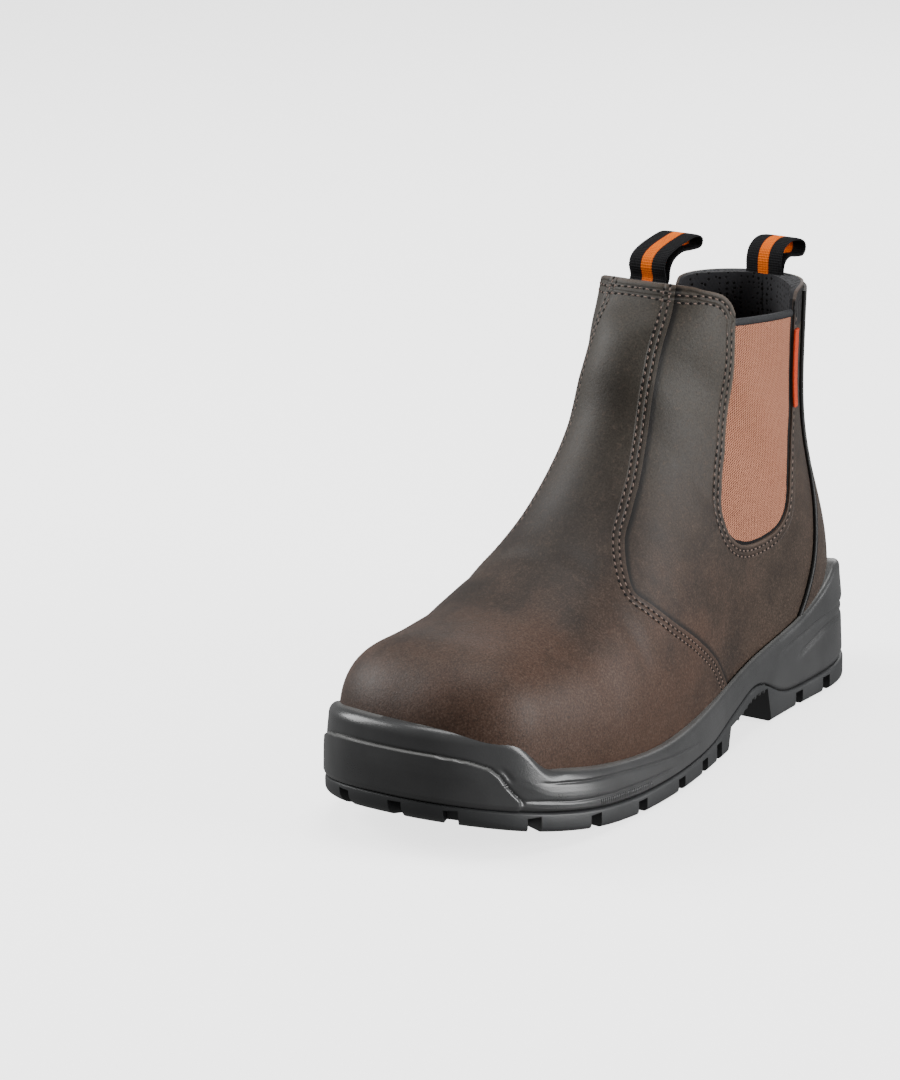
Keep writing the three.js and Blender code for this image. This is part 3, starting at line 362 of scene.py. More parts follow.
# Side-view outlines in mm
GORE_FRONT = [(102.2, 175.2), (104.6, 160.7), (108.0, 146.0), (112.2, 131.5), (117.4, 118.0),
              (120.3, 106.5), (120.3, 98.6), (117.6, 90.6), (111.6, 85.0)]
GORE_BOTTOM = [(103.0, 82.2), (91.0, 81.6), (79.0, 83.0), (71.0, 87.0)]
GORE_BACK = [(67.0, 93.6), (64.8, 103.0), (60.7, 117.6), (54.3, 133.3), (50.9, 169.0)]
COLLAR_FRONT = [(101.9, 180.9), (104.0, 185.2), (108.3, 189.5), (115.6, 192.5), (121.4, 194.6),
                (140.3, 196.0)]
COLLAR_BACK = [(50.6, 176.4), (47.6, 179.5), (36.0, 180.1), (9.2, 178.4)]
PIPING_LINE = [(58.6, 37.2), (51.2, 49.0), (44.5, 62.7), (40.3, 78.4), (37.8, 94.1), (37.2, 117.6),
               (37.2, 149.0), (36.6, 177.4)]
RIM_ROWS = [(0, 47.6), (9.2, 49.0), (16.8, 52.6), (25.0, 54.9), (33.6, 50.8), (45.1, 44.7), (58.0, 39.8),
            (68.9, 37.0), (101.9, 31.6), (125.1, 27.4), (158.0, 22.3), (180.9, 20.6), (205.9, 21.6),
            (230.9, 24.7), (250.0, 28.3), (258.0, 30.1), (263.0, 31.6), (267.2, 35.4), (270.8, 40.4),
            (274.4, 45.0), (278.8, 48.0), (284.4, 49.6), (289.5, 50.8), (295.9, 52.6), (302.0, 54.1)]
RIM = Spline([r[0] for r in RIM_ROWS], [r[1] for r in RIM_ROWS])


# Meshes


@dataclass
class Bench:
    """Where pieces are made: turns millimetres into meshes in the part's frame."""

    origin_x: float
    origin_y: float

    def place(self, points: Array) -> Array:
        """Turn (x, s, z) in mm into places in metres."""
        p = np.asarray(points, float)
        return np.stack([p[..., 0] + self.origin_x, self.origin_y - p[..., 1], p[..., 2]], axis=-1) * 1e-3

    def mesh(self, name: str, points: Array, faces: Sequence[Sequence[int]], uv: Array | None = None,
             merge: bool = True) -> bpy.types.Object:
        """Make an object from points in mm.

        Args:
            name: object's name.
            points: (n, 3) array of (x, s, z).
            faces: corner numbers of each face.
            uv: (n, 2) place of each point on its cloth, in mm.
            merge: whether points that coincide become one.

        Returns:
            The object, linked to the scene.
        """
        data = bpy.data.meshes.new(name)
        data.from_pydata(self.place(points).tolist(), [], [list(f) for f in faces])
        if uv is not None:
            corners = np.empty(len(data.loops), dtype=np.int32)
            data.loops.foreach_get("vertex_index", corners)
            layer = data.uv_layers.new(name="cloth")
            layer.data.foreach_set("uv", np.asarray(uv, float)[corners].astype(np.float32).ravel())
        piece = bpy.data.objects.new(name, data)
        bpy.context.scene.collection.objects.link(piece)
        if merge:
            self.tidy(piece)
        return piece

    def tidy(self, piece: bpy.types.Object) -> None:
        """Merge coinciding points and turn the faces outwards."""
        work = bmesh.new()
        work.from_mesh(piece.data)
        bmesh.ops.remove_doubles(work, verts=work.verts, dist=2e-7)
        bmesh.ops.dissolve_degenerate(work, edges=work.edges, dist=1e-8)
        bmesh.ops.recalc_face_normals(work, faces=work.faces)
        if work.calc_volume(signed=True) < 0:
            bmesh.ops.reverse_faces(work, faces=work.faces)
        work.to_mesh(piece.data)
        work.free()

    def rings(self, name: str, rings: Array) -> bpy.types.Object:
        """Closed solid over a stack of rings, lateral points first, then the medial ones back.

        Args:
            name: object's name.
            rings: (rings, points, 3) array in mm.

        Returns:
            The solid.
        """
        rows, count = rings.shape[:2]
        i, j = np.meshgrid(np.arange(rows - 1), np.arange(count), indexing="ij")
        k = (j + 1) % count
        sides = np.stack([i * count + j, i * count + k, (i + 1) * count + k, (i + 1) * count + j], -1)
        half = np.arange(count // 2 - 1)
        cap = np.stack([half, half + 1, count - 2 - half, count - 1 - half], -1)
        faces = [*sides.reshape(-1, 4).tolist(), *cap[:, ::-1].tolist(), *(cap + (rows - 1) * count).tolist()]
        return self.mesh(name, rings.reshape(-1, 3), faces)

    def shell(self, name: str, outer: Array, inner: Array, uv: Array | None = None) -> bpy.types.Object:
        """Closed sheet between two grids of points.

        Args:
            name: object's name.
            outer: (rows, columns, 3) points of the face that shows.
            inner: points of the face behind it.
            uv: (rows, columns, 2) place on the cloth, in mm.

        Returns:
            The sheet.
        """
        rows, columns = outer.shape[:2]
        n = rows * columns
        i, j = np.meshgrid(np.arange(rows - 1), np.arange(columns - 1), indexing="ij")
        a = i * columns + j
        quads = np.stack([a, a + 1, a + columns + 1, a + columns], -1).reshape(-1, 4)
        around = [*range(columns), *(r * columns + columns - 1 for r in range(1, rows)),
                  *(n - 1 - c for c in range(1, columns)), *(r * columns for r in range(rows - 2, 0, -1))]
        edge = [[p, q, q + n, p + n] for p, q in zip(around, [*around[1:], around[0]])]
        faces = [*quads[:, ::-1].tolist(), *(quads + n).tolist(), *edge]
        both = None if uv is None else np.concatenate([uv.reshape(-1, 2), uv.reshape(-1, 2)])
        return self.mesh(name, np.concatenate([outer.reshape(-1, 3), inner.reshape(-1, 3)]), faces, both)

    def prism(self, name: str, outline: Sequence[tuple[float, float]], low: float = -120.0,
              high: float = 120.0) -> bpy.types.Object:
        """Side-view outline as a solid across the boot, between two x values."""
        count = len(outline)
        points = np.array([(x, s, z) for x in (low, high) for s, z in outline])
        sides = [[i, (i + 1) % count, (i + 1) % count + count, i + count] for i in range(count)]
        return self.mesh(name, points, [list(range(count))[::-1], list(range(count, 2 * count)), *sides])

    @staticmethod
    def plain(piece: bpy.types.Object) -> None:
        """Turn a piece's modifiers into plain mesh."""
        graph = bpy.context.evaluated_depsgraph_get()
        result = bpy.data.meshes.new_from_object(piece.evaluated_get(graph), depsgraph=graph)
        old = piece.data
        piece.modifiers.clear()
        piece.data = result
        result.name = piece.name
        bpy.data.meshes.remove(old)

    def carve(self, piece: bpy.types.Object, *tools: bpy.types.Object, how: Cut = Cut.TAKE_AWAY,
              keep_tools: bool = False) -> bpy.types.Object:
        """Cut a solid with others.

        Args:
            piece: solid to be cut.
            tools: solids that cut it.
            how: kind of cut.
            keep_tools: whether the tools are used again.

        Returns:
            The piece.
        """
        for tool in tools:
            step = piece.modifiers.new("cut", "BOOLEAN")
            step.operation = how.value
            step.solver = "MANIFOLD"
            step.object = tool
            self.plain(piece)
            if not keep_tools:
                self.discard(tool)
        if not len(piece.data.polygons):
            raise RuntimeError(f"{piece.name} came out empty")
        return piece

    @staticmethod
    def discard(piece: bpy.types.Object) -> None:
        """Remove a helper solid and its mesh."""
        data = piece.data
        bpy.data.objects.remove(piece)
        bpy.data.meshes.remove(data)

    @staticmethod
    def soften(piece: bpy.types.Object, angle: float = 35.0) -> None:
        """Shade smooth, with edges sharper than `angle` degrees kept."""
        piece.data.shade_smooth()
        piece.data.set_sharp_from_angle(angle=math.radians(angle))

    def share(self, piece: bpy.types.Object, name: str, values: Callable[[Array, Array, Array], Array]) -> None:
        """Store a number for each point of a piece.

        Args:
            piece: the piece.
            name: name of the attribute.
            values: works it out from x, s and z in mm.
        """
        flat = np.empty(len(piece.data.vertices) * 3, dtype=np.float32)
        piece.data.vertices.foreach_get("co", flat)
        p = flat.reshape(-1, 3) * 1e3
        number = values(p[:, 0] - self.origin_x, self.origin_y - p[:, 1], p[:, 2])
        layer = piece.data.attributes.new(name, "FLOAT", "POINT")
        layer.data.foreach_set("value", np.asarray(number, np.float32))

    def finish(self, piece: bpy.types.Object, finish: bpy.types.Material, slot: str,
               nodes: Sequence[str] = ()) -> None:
        """Dress a finished piece and tie it to the part.

        Args:
            piece: the piece.
            finish: its material.
            slot: not used.
            nodes: nodes of the part that it stands for.
        """
        piece.data.materials.clear()
        piece.data.materials.append(finish)
        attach(piece, BODY)
        if nodes:
            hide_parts(*nodes)
        triangles = sum(len(face.vertices) - 2 for face in piece.data.polygons)
        LOG.info("%s: %d triangles", piece.name, triangles)


# Materials


class Signal:
    """A number that runs through a material; arithmetic on it adds Math nodes."""

    def __init__(self, sheet: "Sheet", socket: bpy.types.NodeSocket) -> None:
        """Wrap a socket of a sheet."""
        self.sheet = sheet
        self.socket = socket

    def _with(self, operation: str, *values: Any) -> "Signal":
        """Math node on these values."""
        node = self.sheet.node("ShaderNodeMath", {"operation": operation}, dict(enumerate(values)))
        return Signal(self.sheet, node.outputs[0])

    def __add__(self, other: Any) -> "Signal":
        """Sum."""
        return self._with("ADD", self, other)

    def __radd__(self, other: Any) -> "Signal":
        """Sum, number first."""
        return self._with("ADD", other, self)

    def __sub__(self, other: Any) -> "Signal":
        """Difference."""
        return self._with("SUBTRACT", self, other)

    def __rsub__(self, other: Any) -> "Signal":
        """Difference, number first."""
        return self._with("SUBTRACT", other, self)

    def __mul__(self, other: Any) -> "Signal":
        """Product."""
        return self._with("MULTIPLY", self, other)

    def __rmul__(self, other: Any) -> "Signal":
        """Product, number first."""
        return self._with("MULTIPLY", other, self)

    def __truediv__(self, other: Any) -> "Signal":
        """Quotient."""
        return self._with("DIVIDE", self, other)

    def sine(self) -> "Signal":
        """Sine of the number, in radians."""
        return self._with("SINE", self)

    def size(self) -> "Signal":
        """Size of the number without its sign."""
        return self._with("ABSOLUTE", self)

    def at_least(self, other: Any) -> "Signal":
        """The larger of two numbers."""
        return self._with("MAXIMUM", self, other)

    def step(self, low: float, high: float) -> "Signal":
        """Soft step from 0 at low to 1 at high."""
        node = self.sheet.node("ShaderNodeMapRange", {"interpolation_type": "SMOOTHSTEP"},
                               {"Value": self, "From Min": low, "From Max": high})
        return Signal(self.sheet, node.outputs[0])


class Sheet:
    """A material under construction."""

    def __init__(self, name: str) -> None:
        """Start an empty material."""
        self.material = bpy.data.materials.new(name)
        self.material.use_nodes = True
        self.tree = self.material.node_tree
        self.tree.nodes.clear()

    def node(self, kind: str, settings: dict[str, Any] | None = None,
             inputs: dict[Any, Any] | None = None) -> bpy.types.Node:
        """Add any node.

        Args:
            kind: its type.
            settings: properties, set first; "stops" gives a ramp's (place, colour) pairs.
            inputs: value or link of each socket, by name or number.

        Returns:
            The node.
        """
        node = self.tree.nodes.new(kind)
        for key, value in (settings or {}).items():
            if key == "stops":
                ramp = node.color_ramp
                while len(ramp.elements) < len(value):
                    ramp.elements.new(0.5)
                for element, (place, colour) in zip(ramp.elements, value):
                    element.position, element.color = place, (*colour, 1.0)
            else:
                setattr(node, key, value)
        for key, value in (inputs or {}).items():
            if isinstance(value, Signal):
                value = value.socket
            if isinstance(value, bpy.types.NodeSocket):
                self.tree.links.new(value, node.inputs[key])
            else:
                socket = node.inputs[key]
                if hasattr(value, "__len__") and socket.type == "RGBA" and len(value) == 3:
                    value = (*value, 1.0)
                socket.default_value = value
        return node

    def place(self) -> bpy.types.NodeSocket:
        """Object coordinates."""
        return self.node("ShaderNodeTexCoord").outputs["Object"]

    def axes(self, vector: bpy.types.NodeSocket) -> tuple[Signal, Signal, Signal]:
        """The three numbers of a vector."""
        out = self.node("ShaderNodeSeparateXYZ", inputs={0: vector}).outputs
        return Signal(self, out[0]), Signal(self, out[1]), Signal(self, out[2])

    def cloth(self) -> tuple[Signal, Signal]:
        """Place on the piece's cloth, in mm: along and across."""
        u, v, _ = self.axes(self.node("ShaderNodeUVMap", {"uv_map": "cloth"}).outputs[0])
        return u, v

    def attribute(self, name: str) -> Signal:
        """A number stored on the piece's points."""
        return Signal(self, self.node("ShaderNodeAttribute", {"attribute_name": name}).outputs["Fac"])

    def noise(self, scale: float, detail: float = 3.0, rough: float = 0.5,
              stretch: tuple[float, float, float] | None = None) -> Signal:
        """Noise over the piece's own space.

        Args:
            scale: waves per metre.
            detail: octaves.
            rough: strength of the finer ones.
            stretch: scale of each axis.

        Returns:
            The noise, 0 to 1.
        """
        vector = self.place()
        if stretch:
            vector = self.node("ShaderNodeMapping", inputs={"Vector": vector, "Scale": stretch}).outputs[0]
        node = self.node("ShaderNodeTexNoise", inputs={"Vector": vector, "Scale": scale, "Detail": detail,
                                                       "Roughness": rough})
        return Signal(self, node.outputs[0])

    def cells(self, scale: float, scatter: float) -> Signal:
        """Distance to the nearest cell of a scattered pattern."""
        node = self.node("ShaderNodeTexVoronoi", inputs={"Vector": self.place(), "Scale": scale,
                                                         "Randomness": scatter})
        return Signal(self, node.outputs["Distance"])

    def blend(self, factor: Any, first: Any, second: Any) -> bpy.types.NodeSocket:
        """Colour between two colours."""
        node = self.node("ShaderNodeMix", {"data_type": "RGBA"}, {0: factor, 6: first, 7: second})
        return node.outputs[2]

    def bump(self, height: Signal, distance: float, under: bpy.types.NodeSocket | None = None,
             strength: float = 1.0) -> bpy.types.NodeSocket:
        """Fine relief.

        Args:
            height: the relief, 0 to 1.
            distance: its height in metres.
            under: normal that it lies on.
            strength: how much of it shows.

        Returns:
            The normal.
        """
        inputs: dict[Any, Any] = {"Height": height, "Distance": distance, "Strength": strength}
        if under is not None:
            inputs["Normal"] = under
        return self.node("ShaderNodeBump", inputs=inputs).outputs[0]

    def close(self, **inputs: Any) -> bpy.types.Material:
        """Join everything in a Principled shader.

        Args:
            inputs: its sockets; an underscore stands for a space.

        Returns:
            The finished material.
        """
        named = {key.replace("_", " "): value for key, value in inputs.items()}
        shader = self.node("ShaderNodeBsdfPrincipled", inputs=named)
        self.node("ShaderNodeOutputMaterial", inputs={"Surface": shader.outputs[0]})
        return self.material


Colour = tuple[float, float, float]


@dataclass(frozen=True)
class Leather:
    """Oiled nubuck: dark, cloudy, rubbed warmer low down, with worn and pressed edges; greyer higher up, which is
    painted sheen, and on the quarters a painted shadow beside the vamp's lapped edge.
    """

    name: str
    dark: Colour = (0.016, 0.0105, 0.0075)
    mid: Colour = (0.037, 0.0245, 0.0175)
    warm: Colour = (0.058, 0.0285, 0.0175)
    # greyer tone of the upper shaft: painted sheen
    sheen_grey: Colour = (0.036, 0.033, 0.026)
    dust: Colour = (0.13, 0.09, 0.068)
    rough: float = 0.56
    rows: tuple[float, float] = (2.3, 4.9)
    marked: bool = True
    lapped: bool = False
    bound: bool = False

    def pressed(self, sheet: Sheet, far: Signal) -> Signal:
        """Troughs that the rows of thread press in, 0 to 1."""
        first, second = ((far - row).size() for row in self.rows)
        return (1 - first.step(0.1, 1.0)).at_least(1 - second.step(0.1, 1.0))

    def make(self) -> bpy.types.Material:
        """Build the material."""
        sheet = Sheet(self.name)
        _, y, z = sheet.axes(sheet.place())
        clouds = sheet.noise(12, 5, 0.6)
        patches = sheet.noise(42, 6, 0.68)
        speckle = sheet.noise(1250, 3, 0.65)
        pores = sheet.noise(520, 5, 0.72)
        low = (0.1 - z + (clouds - 0.5) * 0.12).step(-0.02, 0.06)
        front = (0.0 - y + (clouds - 0.5) * 0.1).step(-0.12, 0.06)
        rubbed = (low * front * (0.2 + 1.25 * patches)).step(0.12, 0.85)
        colour = sheet.blend((clouds * 0.5 + patches * 0.5).step(0.38, 0.6), self.dark, self.mid)
        # Greyer tone higher up the shaft: painted sheen.
        colour = sheet.blend((z - 0.085 + (patches - 0.5) * 0.07).step(0.0, 0.08) * 0.7, colour, self.sheen_grey)
        colour = sheet.blend(rubbed * 0.8, colour, self.warm)
        colour = sheet.blend(speckle.step(0.5, 0.66) * 0.6, colour, self.dark)
        colour = sheet.blend((1 - speckle.step(0.34, 0.5)) * (0.1 + 0.3 * low) * (0.3 + patches), colour, self.dust)
        colour = sheet.blend(pores.step(0.52, 0.7) * (0.2 + 0.4 * patches) * 0.55, colour, self.dust)
        if self.bound:
            cloth = z.step(0.1635, 0.1645) * y.step(0.094, 0.095)
            colour = sheet.blend(cloth, colour, sheet.blend(speckle, (0.004, 0.004, 0.0045), (0.02, 0.018, 0.018)))
        rough = self.rough + (patches - 0.5) * 0.25 + (pores - 0.5) * 0.2
        height = patches * 0.5 + clouds * 0.3
        if self.marked:
            seam, trim = sheet.attribute("seam"), sheet.attribute("trim")
            furrow = self.pressed(sheet, trim)
            worn = 1 - trim.step(0.3, 1.3)
            if self.lapped:
                furrow = furrow.at_least(self.pressed(sheet, seam))
                worn = worn.at_least((1 - seam.step(0.3, 0.9)) * 0.3)
            else:
                # On the quarters: a near-black band beside the vamp's lapped edge, painted shadow of the lap.
                colour = sheet.blend((1 - seam.step(1.4, 3.6)) * 0.94, colour, (0.004, 0.0032, 0.003))
            colour = sheet.blend(worn * (0.25 + patches) * 0.5, colour, self.dust)
            height = height - furrow * 0.55
        coarse = sheet.bump(height, 0.0007, strength=0.7)
        fine = sheet.bump(pores * 0.6 + speckle * 0.4, 0.0002, coarse, 0.9)
        return sheet.close(Base_Color=colour, Roughness=rough, Normal=fine, Specular_IOR_Level=0.26,
                           Sheen_Weight=0.05, Sheen_Roughness=0.4)


@dataclass(frozen=True)
class Elastic:
    """Woven elastic: ribs along the shaft crossed by a fine diagonal weave."""

    name: str = "gore_elastic"
    light: Colour = (0.47, 0.2, 0.12)
    dark: Colour = (0.07, 0.023, 0.013)
    rib: float = 1.25
    pick: float = 1.0

    def make(self) -> bpy.types.Material:
        """Build the material."""
        sheet = Sheet(self.name)
        across, along = sheet.cloth()
        ribs = ((across / self.rib) * math.tau).sine() * 0.5 + 0.5
        picks = ((along / self.pick + across / (2 * self.rib)) * math.tau).sine() * 0.5 + 0.5
        weave = ribs * 0.45 + picks * 0.55
        clouds = sheet.noise(60, 4, 0.6)
        fuzz = sheet.noise(1900, 3, 0.65)
        colour = sheet.blend((weave * 0.8 + fuzz * 0.9 - 0.4).step(0.18, 0.6), self.dark, self.light)
        colour = sheet.blend((clouds - 0.35) * 0.3, colour, (0.26, 0.1, 0.065))
        # Near-black band along the panel's edges, where the leather laps over it: painted shadow.
        edge = sheet.attribute("edge").step(2.7, 3.1)
        colour = sheet.blend(edge, (0.005, 0.0045, 0.0045), colour)
        return sheet.close(Base_Color=colour, Roughness=0.86, Normal=sheet.bump(weave + fuzz * 0.3, 0.00022),
                           Sheen_Weight=0.06, Sheen_Roughness=0.5, Specular_IOR_Level=0.15)


@dataclass(frozen=True)
class Webbing:
    """Ribbed tape, black with one bright stripe along its middle."""

    name: str = "loop_webbing"
    black: Colour = (0.011, 0.011, 0.012)
    stripe: Colour = (0.9, 0.19, 0.003)
    stripe_half: float = 2.55
    pick: float = 0.55

    def make(self) -> bpy.types.Material:
        """Build the material."""
        sheet = Sheet(self.name)
        across, along = sheet.cloth()
        picks = ((along / self.pick) * math.tau).sine() * 0.5 + 0.5
        wales = ((across / 0.8) * math.tau).sine() * 0.5 + 0.5
        fuzz = sheet.noise(2200, 3, 0.6)
        ragged = across.size() + (picks - 0.5) * 0.25 + (fuzz - 0.5) * 0.3
        bright = 1 - ragged.step(self.stripe_half - 0.12, self.stripe_half + 0.12)
        weave = picks * 0.5 + wales * 0.5
        black = sheet.blend((weave * fuzz).step(0.1, 0.6), (0.003, 0.003, 0.0035), (0.017, 0.017, 0.019))
        orange = sheet.blend((weave * 0.7 + fuzz * 0.5).step(0.2, 0.8), (0.5, 0.05, 0.002), self.stripe)
        return sheet.close(Base_Color=sheet.blend(bright, black, orange), Roughness=0.8,
                           Normal=sheet.bump(weave, 0.00015), Specular_IOR_Level=0.15)


@dataclass(frozen=True)
class Moulded:
    """Satin polyurethane with a fine moulded grain."""

    name: str
    colour: Colour = (0.033, 0.0335, 0.034)
    worn: Colour = (0.044, 0.0445, 0.045)
    # colour of the light edge lines: worn flashing, and the painted highlight along the rim
    edge: Colour = (0.17, 0.17, 0.165)
    rough: float = 0.3
    grain: float = 0.00004

    def make(self) -> bpy.types.Material:
        """Build the material."""
        sheet = Sheet(self.name)
        clouds = sheet.noise(40, 4, 0.55)
        grain = sheet.noise(1900, 2, 0.5)
        colour = sheet.blend(clouds.step(0.35, 0.7), self.colour, self.worn)
        # Lighter edge lines: worn flashing on the bumper's edge, and a painted highlight along the top of the rim.
        colour = sheet.blend(sheet.attribute("flash") * (0.3 + clouds), colour, self.edge)
        rough = self.rough + (clouds - 0.5) * 0.12 + (grain - 0.5) * 0.08
        waves = sheet.bump(clouds, 0.0003, strength=0.3)
        return sheet.close(Base_Color=colour, Roughness=rough, Specular_IOR_Level=0.5,
                           Normal=sheet.bump(grain, self.grain, waves))


@dataclass(frozen=True)
class Lining:
    """Black spacer mesh with rows of small holes."""

    name: str = "mesh_lining"
    cloth: Colour = (0.028, 0.028, 0.031)
    pitch: float = 2.3

    def make(self) -> bpy.types.Material:
        """Build the material."""
        sheet = Sheet(self.name)
        holes = 1 - sheet.cells(1000 / self.pitch, 0.45).step(0.2, 0.36)
        fuzz = sheet.noise(1300, 3, 0.6)
        colour = sheet.blend(holes, sheet.blend(fuzz, (0.02, 0.02, 0.022), self.cloth), (0.002, 0.002, 0.002))
        return sheet.close(Base_Color=colour, Roughness=0.9, Sheen_Weight=0.05, Specular_IOR_Level=0.15,
                           Normal=sheet.bump((1 - holes) + fuzz * 0.35, 0.0004))


@dataclass(frozen=True)
class Plain:
    """Cloth, thread or cord of one colour with a fine uneven surface."""

    name: str
    colour: Colour
    shade: Colour
    rough: float = 0.6
    scale: float = 1200.0
    relief: float = 0.0001

    def make(self) -> bpy.types.Material:
        """Build the material."""
        sheet = Sheet(self.name)
        fuzz = sheet.noise(self.scale, 4, 0.6)
        colour = sheet.blend(fuzz.step(0.3, 0.7), self.shade, self.colour)
        return sheet.close(Base_Color=colour, Roughness=self.rough + (fuzz - 0.5) * 0.15,
                           Specular_IOR_Level=0.3, Normal=sheet.bump(fuzz, self.relief))


# What repeats


@dataclass
class BeadRow:
    """Small equal shapes along rows of points, laid by a node tree."""

    bench: Bench
    shape: Bead
    length: float
    width: float
    height: float

    def tree(self, finish: bpy.types.Material) -> bpy.types.NodeTree:
        """Node tree that lays one shape on each point.

        Args:
            finish: material of the shapes.

        Returns:
            The tree.
        """
        tree = bpy.data.node_groups.new(f"{self.shape.name.lower()}_row", "GeometryNodeTree")
        sides = tree.interface
        sides.new_socket("Points", in_out="INPUT", socket_type="NodeSocketGeometry")
        for label in ("Length", "Width", "Height"):
            sides.new_socket(label, in_out="INPUT", socket_type="NodeSocketFloat")
        sides.new_socket("Row", in_out="OUTPUT", socket_type="NodeSocketGeometry")

        def add(kind: str, settings: dict[str, Any] | None = None,
                inputs: dict[Any, Any] | None = None) -> bpy.types.Node:
            """Add a node with its settings and its inputs."""
            node = tree.nodes.new(kind)
            for key, value in (settings or {}).items():
                setattr(node, key, value)
            for key, value in (inputs or {}).items():
                if isinstance(value, bpy.types.NodeSocket):
                    tree.links.new(value, node.inputs[key])
                else:
                    node.inputs[key].default_value = value
            return node

        entry = add("NodeGroupInput")
        if self.shape is Bead.THREAD:
            unit = add(self.shape.value, inputs={"Segments": 6, "Rings": 4, "Radius": 1.0}).outputs["Mesh"]
        else:
            bar = add(self.shape.value, inputs={"Vertices": 8, "Radius": 1.0, "Depth": 2.0}).outputs["Mesh"]
            unit = add("GeometryNodeTransform", inputs={"Geometry": bar, "Rotation": (0, math.pi / 2, 0)}).outputs[0]
        scale = add("ShaderNodeCombineXYZ", inputs={0: entry.outputs["Length"], 1: entry.outputs["Width"],
                                                    2: entry.outputs["Height"]})
        ways = [add("GeometryNodeInputNamedAttribute", {"data_type": "FLOAT_VECTOR"}, {"Name": name})
                for name in ("run", "out")]
        along = add("FunctionNodeAlignRotationToVector", {"axis": "X"}, {"Vector": ways[0].outputs[0]})
        upright = add("FunctionNodeAlignRotationToVector", {"axis": "Z", "pivot_axis": "X"},
                      {"Rotation": along.outputs[0], "Vector": ways[1].outputs[0]})
        laid = add("GeometryNodeInstanceOnPoints", inputs={"Points": entry.outputs["Points"], "Instance": unit,
                                                           "Rotation": upright.outputs[0],
                                                           "Scale": scale.outputs[0]})
        real = add("GeometryNodeRealizeInstances", inputs={0: laid.outputs[0]})
        dressed = add("GeometryNodeSetMaterial", inputs={"Geometry": real.outputs[0], "Material": finish})
        add("NodeGroupOutput", inputs={0: dressed.outputs[0]})
        return tree

    def lay(self, name: str, places: Array, runs: Array, outs: Array, finish: bpy.types.Material,
            slot: str) -> bpy.types.Object:
        """Lay the shapes.

        Args:
            name: object's name.
            places: (n, 3) places in metres.
            runs: direction along the row at each place.
            outs: direction away from the surface.
            finish: material.
            slot: handed on to Bench.finish.

        Returns:
            The row as one plain mesh.
        """
        data = bpy.data.meshes.new(name)
        data.from_pydata(places.tolist(), [], [])
        for key, values in (("run", runs), ("out", outs)):
            layer = data.attributes.new(key, "FLOAT_VECTOR", "POINT")
            layer.data.foreach_set("vector", np.asarray(values, np.float32).ravel())
        piece = bpy.data.objects.new(name, data)
        bpy.context.scene.collection.objects.link(piece)
        step = piece.modifiers.new("row", "NODES")
        step.node_group = self.tree(finish)
        sizes = {"Length": self.length, "Width": self.width, "Height": self.height}
        for item in step.node_group.interface.items_tree:
            if item.name in sizes and item.in_out == "INPUT":
                step[item.identifier] = sizes[item.name] * 0.5e-3
        self.bench.plain(piece)
        piece.data.shade_smooth()
        self.bench.finish(piece, finish, slot)
        return piece


def spread(points: Array, pitch: float) -> tuple[Array, Array]:
    """Even places along a line in space.

    Args:
        points: (n, 3) line.
        pitch: step between places, in the same unit.

    Returns:
        The places and the unit directions of the line there.
    """
    gaps = np.linalg.norm(np.diff(points, axis=0), axis=1)
    keep = np.concatenate([[True], gaps > 1e-9])
    points = points[keep]
    run = np.concatenate([[0], np.cumsum(np.linalg.norm(np.diff(points, axis=0), axis=1))])
    count = max(int(run[-1] / pitch), 1)
    marks = (np.arange(count) + 0.5) * run[-1] / count
    places = np.stack([np.interp(marks, run, points[:, k]) for k in range(3)], -1)
    ahead = np.stack([np.interp(marks + pitch * 0.3, run, points[:, k]) for k in range(3)], -1)
    back = np.stack([np.interp(marks - pitch * 0.3, run, points[:, k]) for k in range(3)], -1)
    way = ahead - back
    return places, way / np.linalg.norm(way, axis=1, keepdims=True)


# The boot's pieces


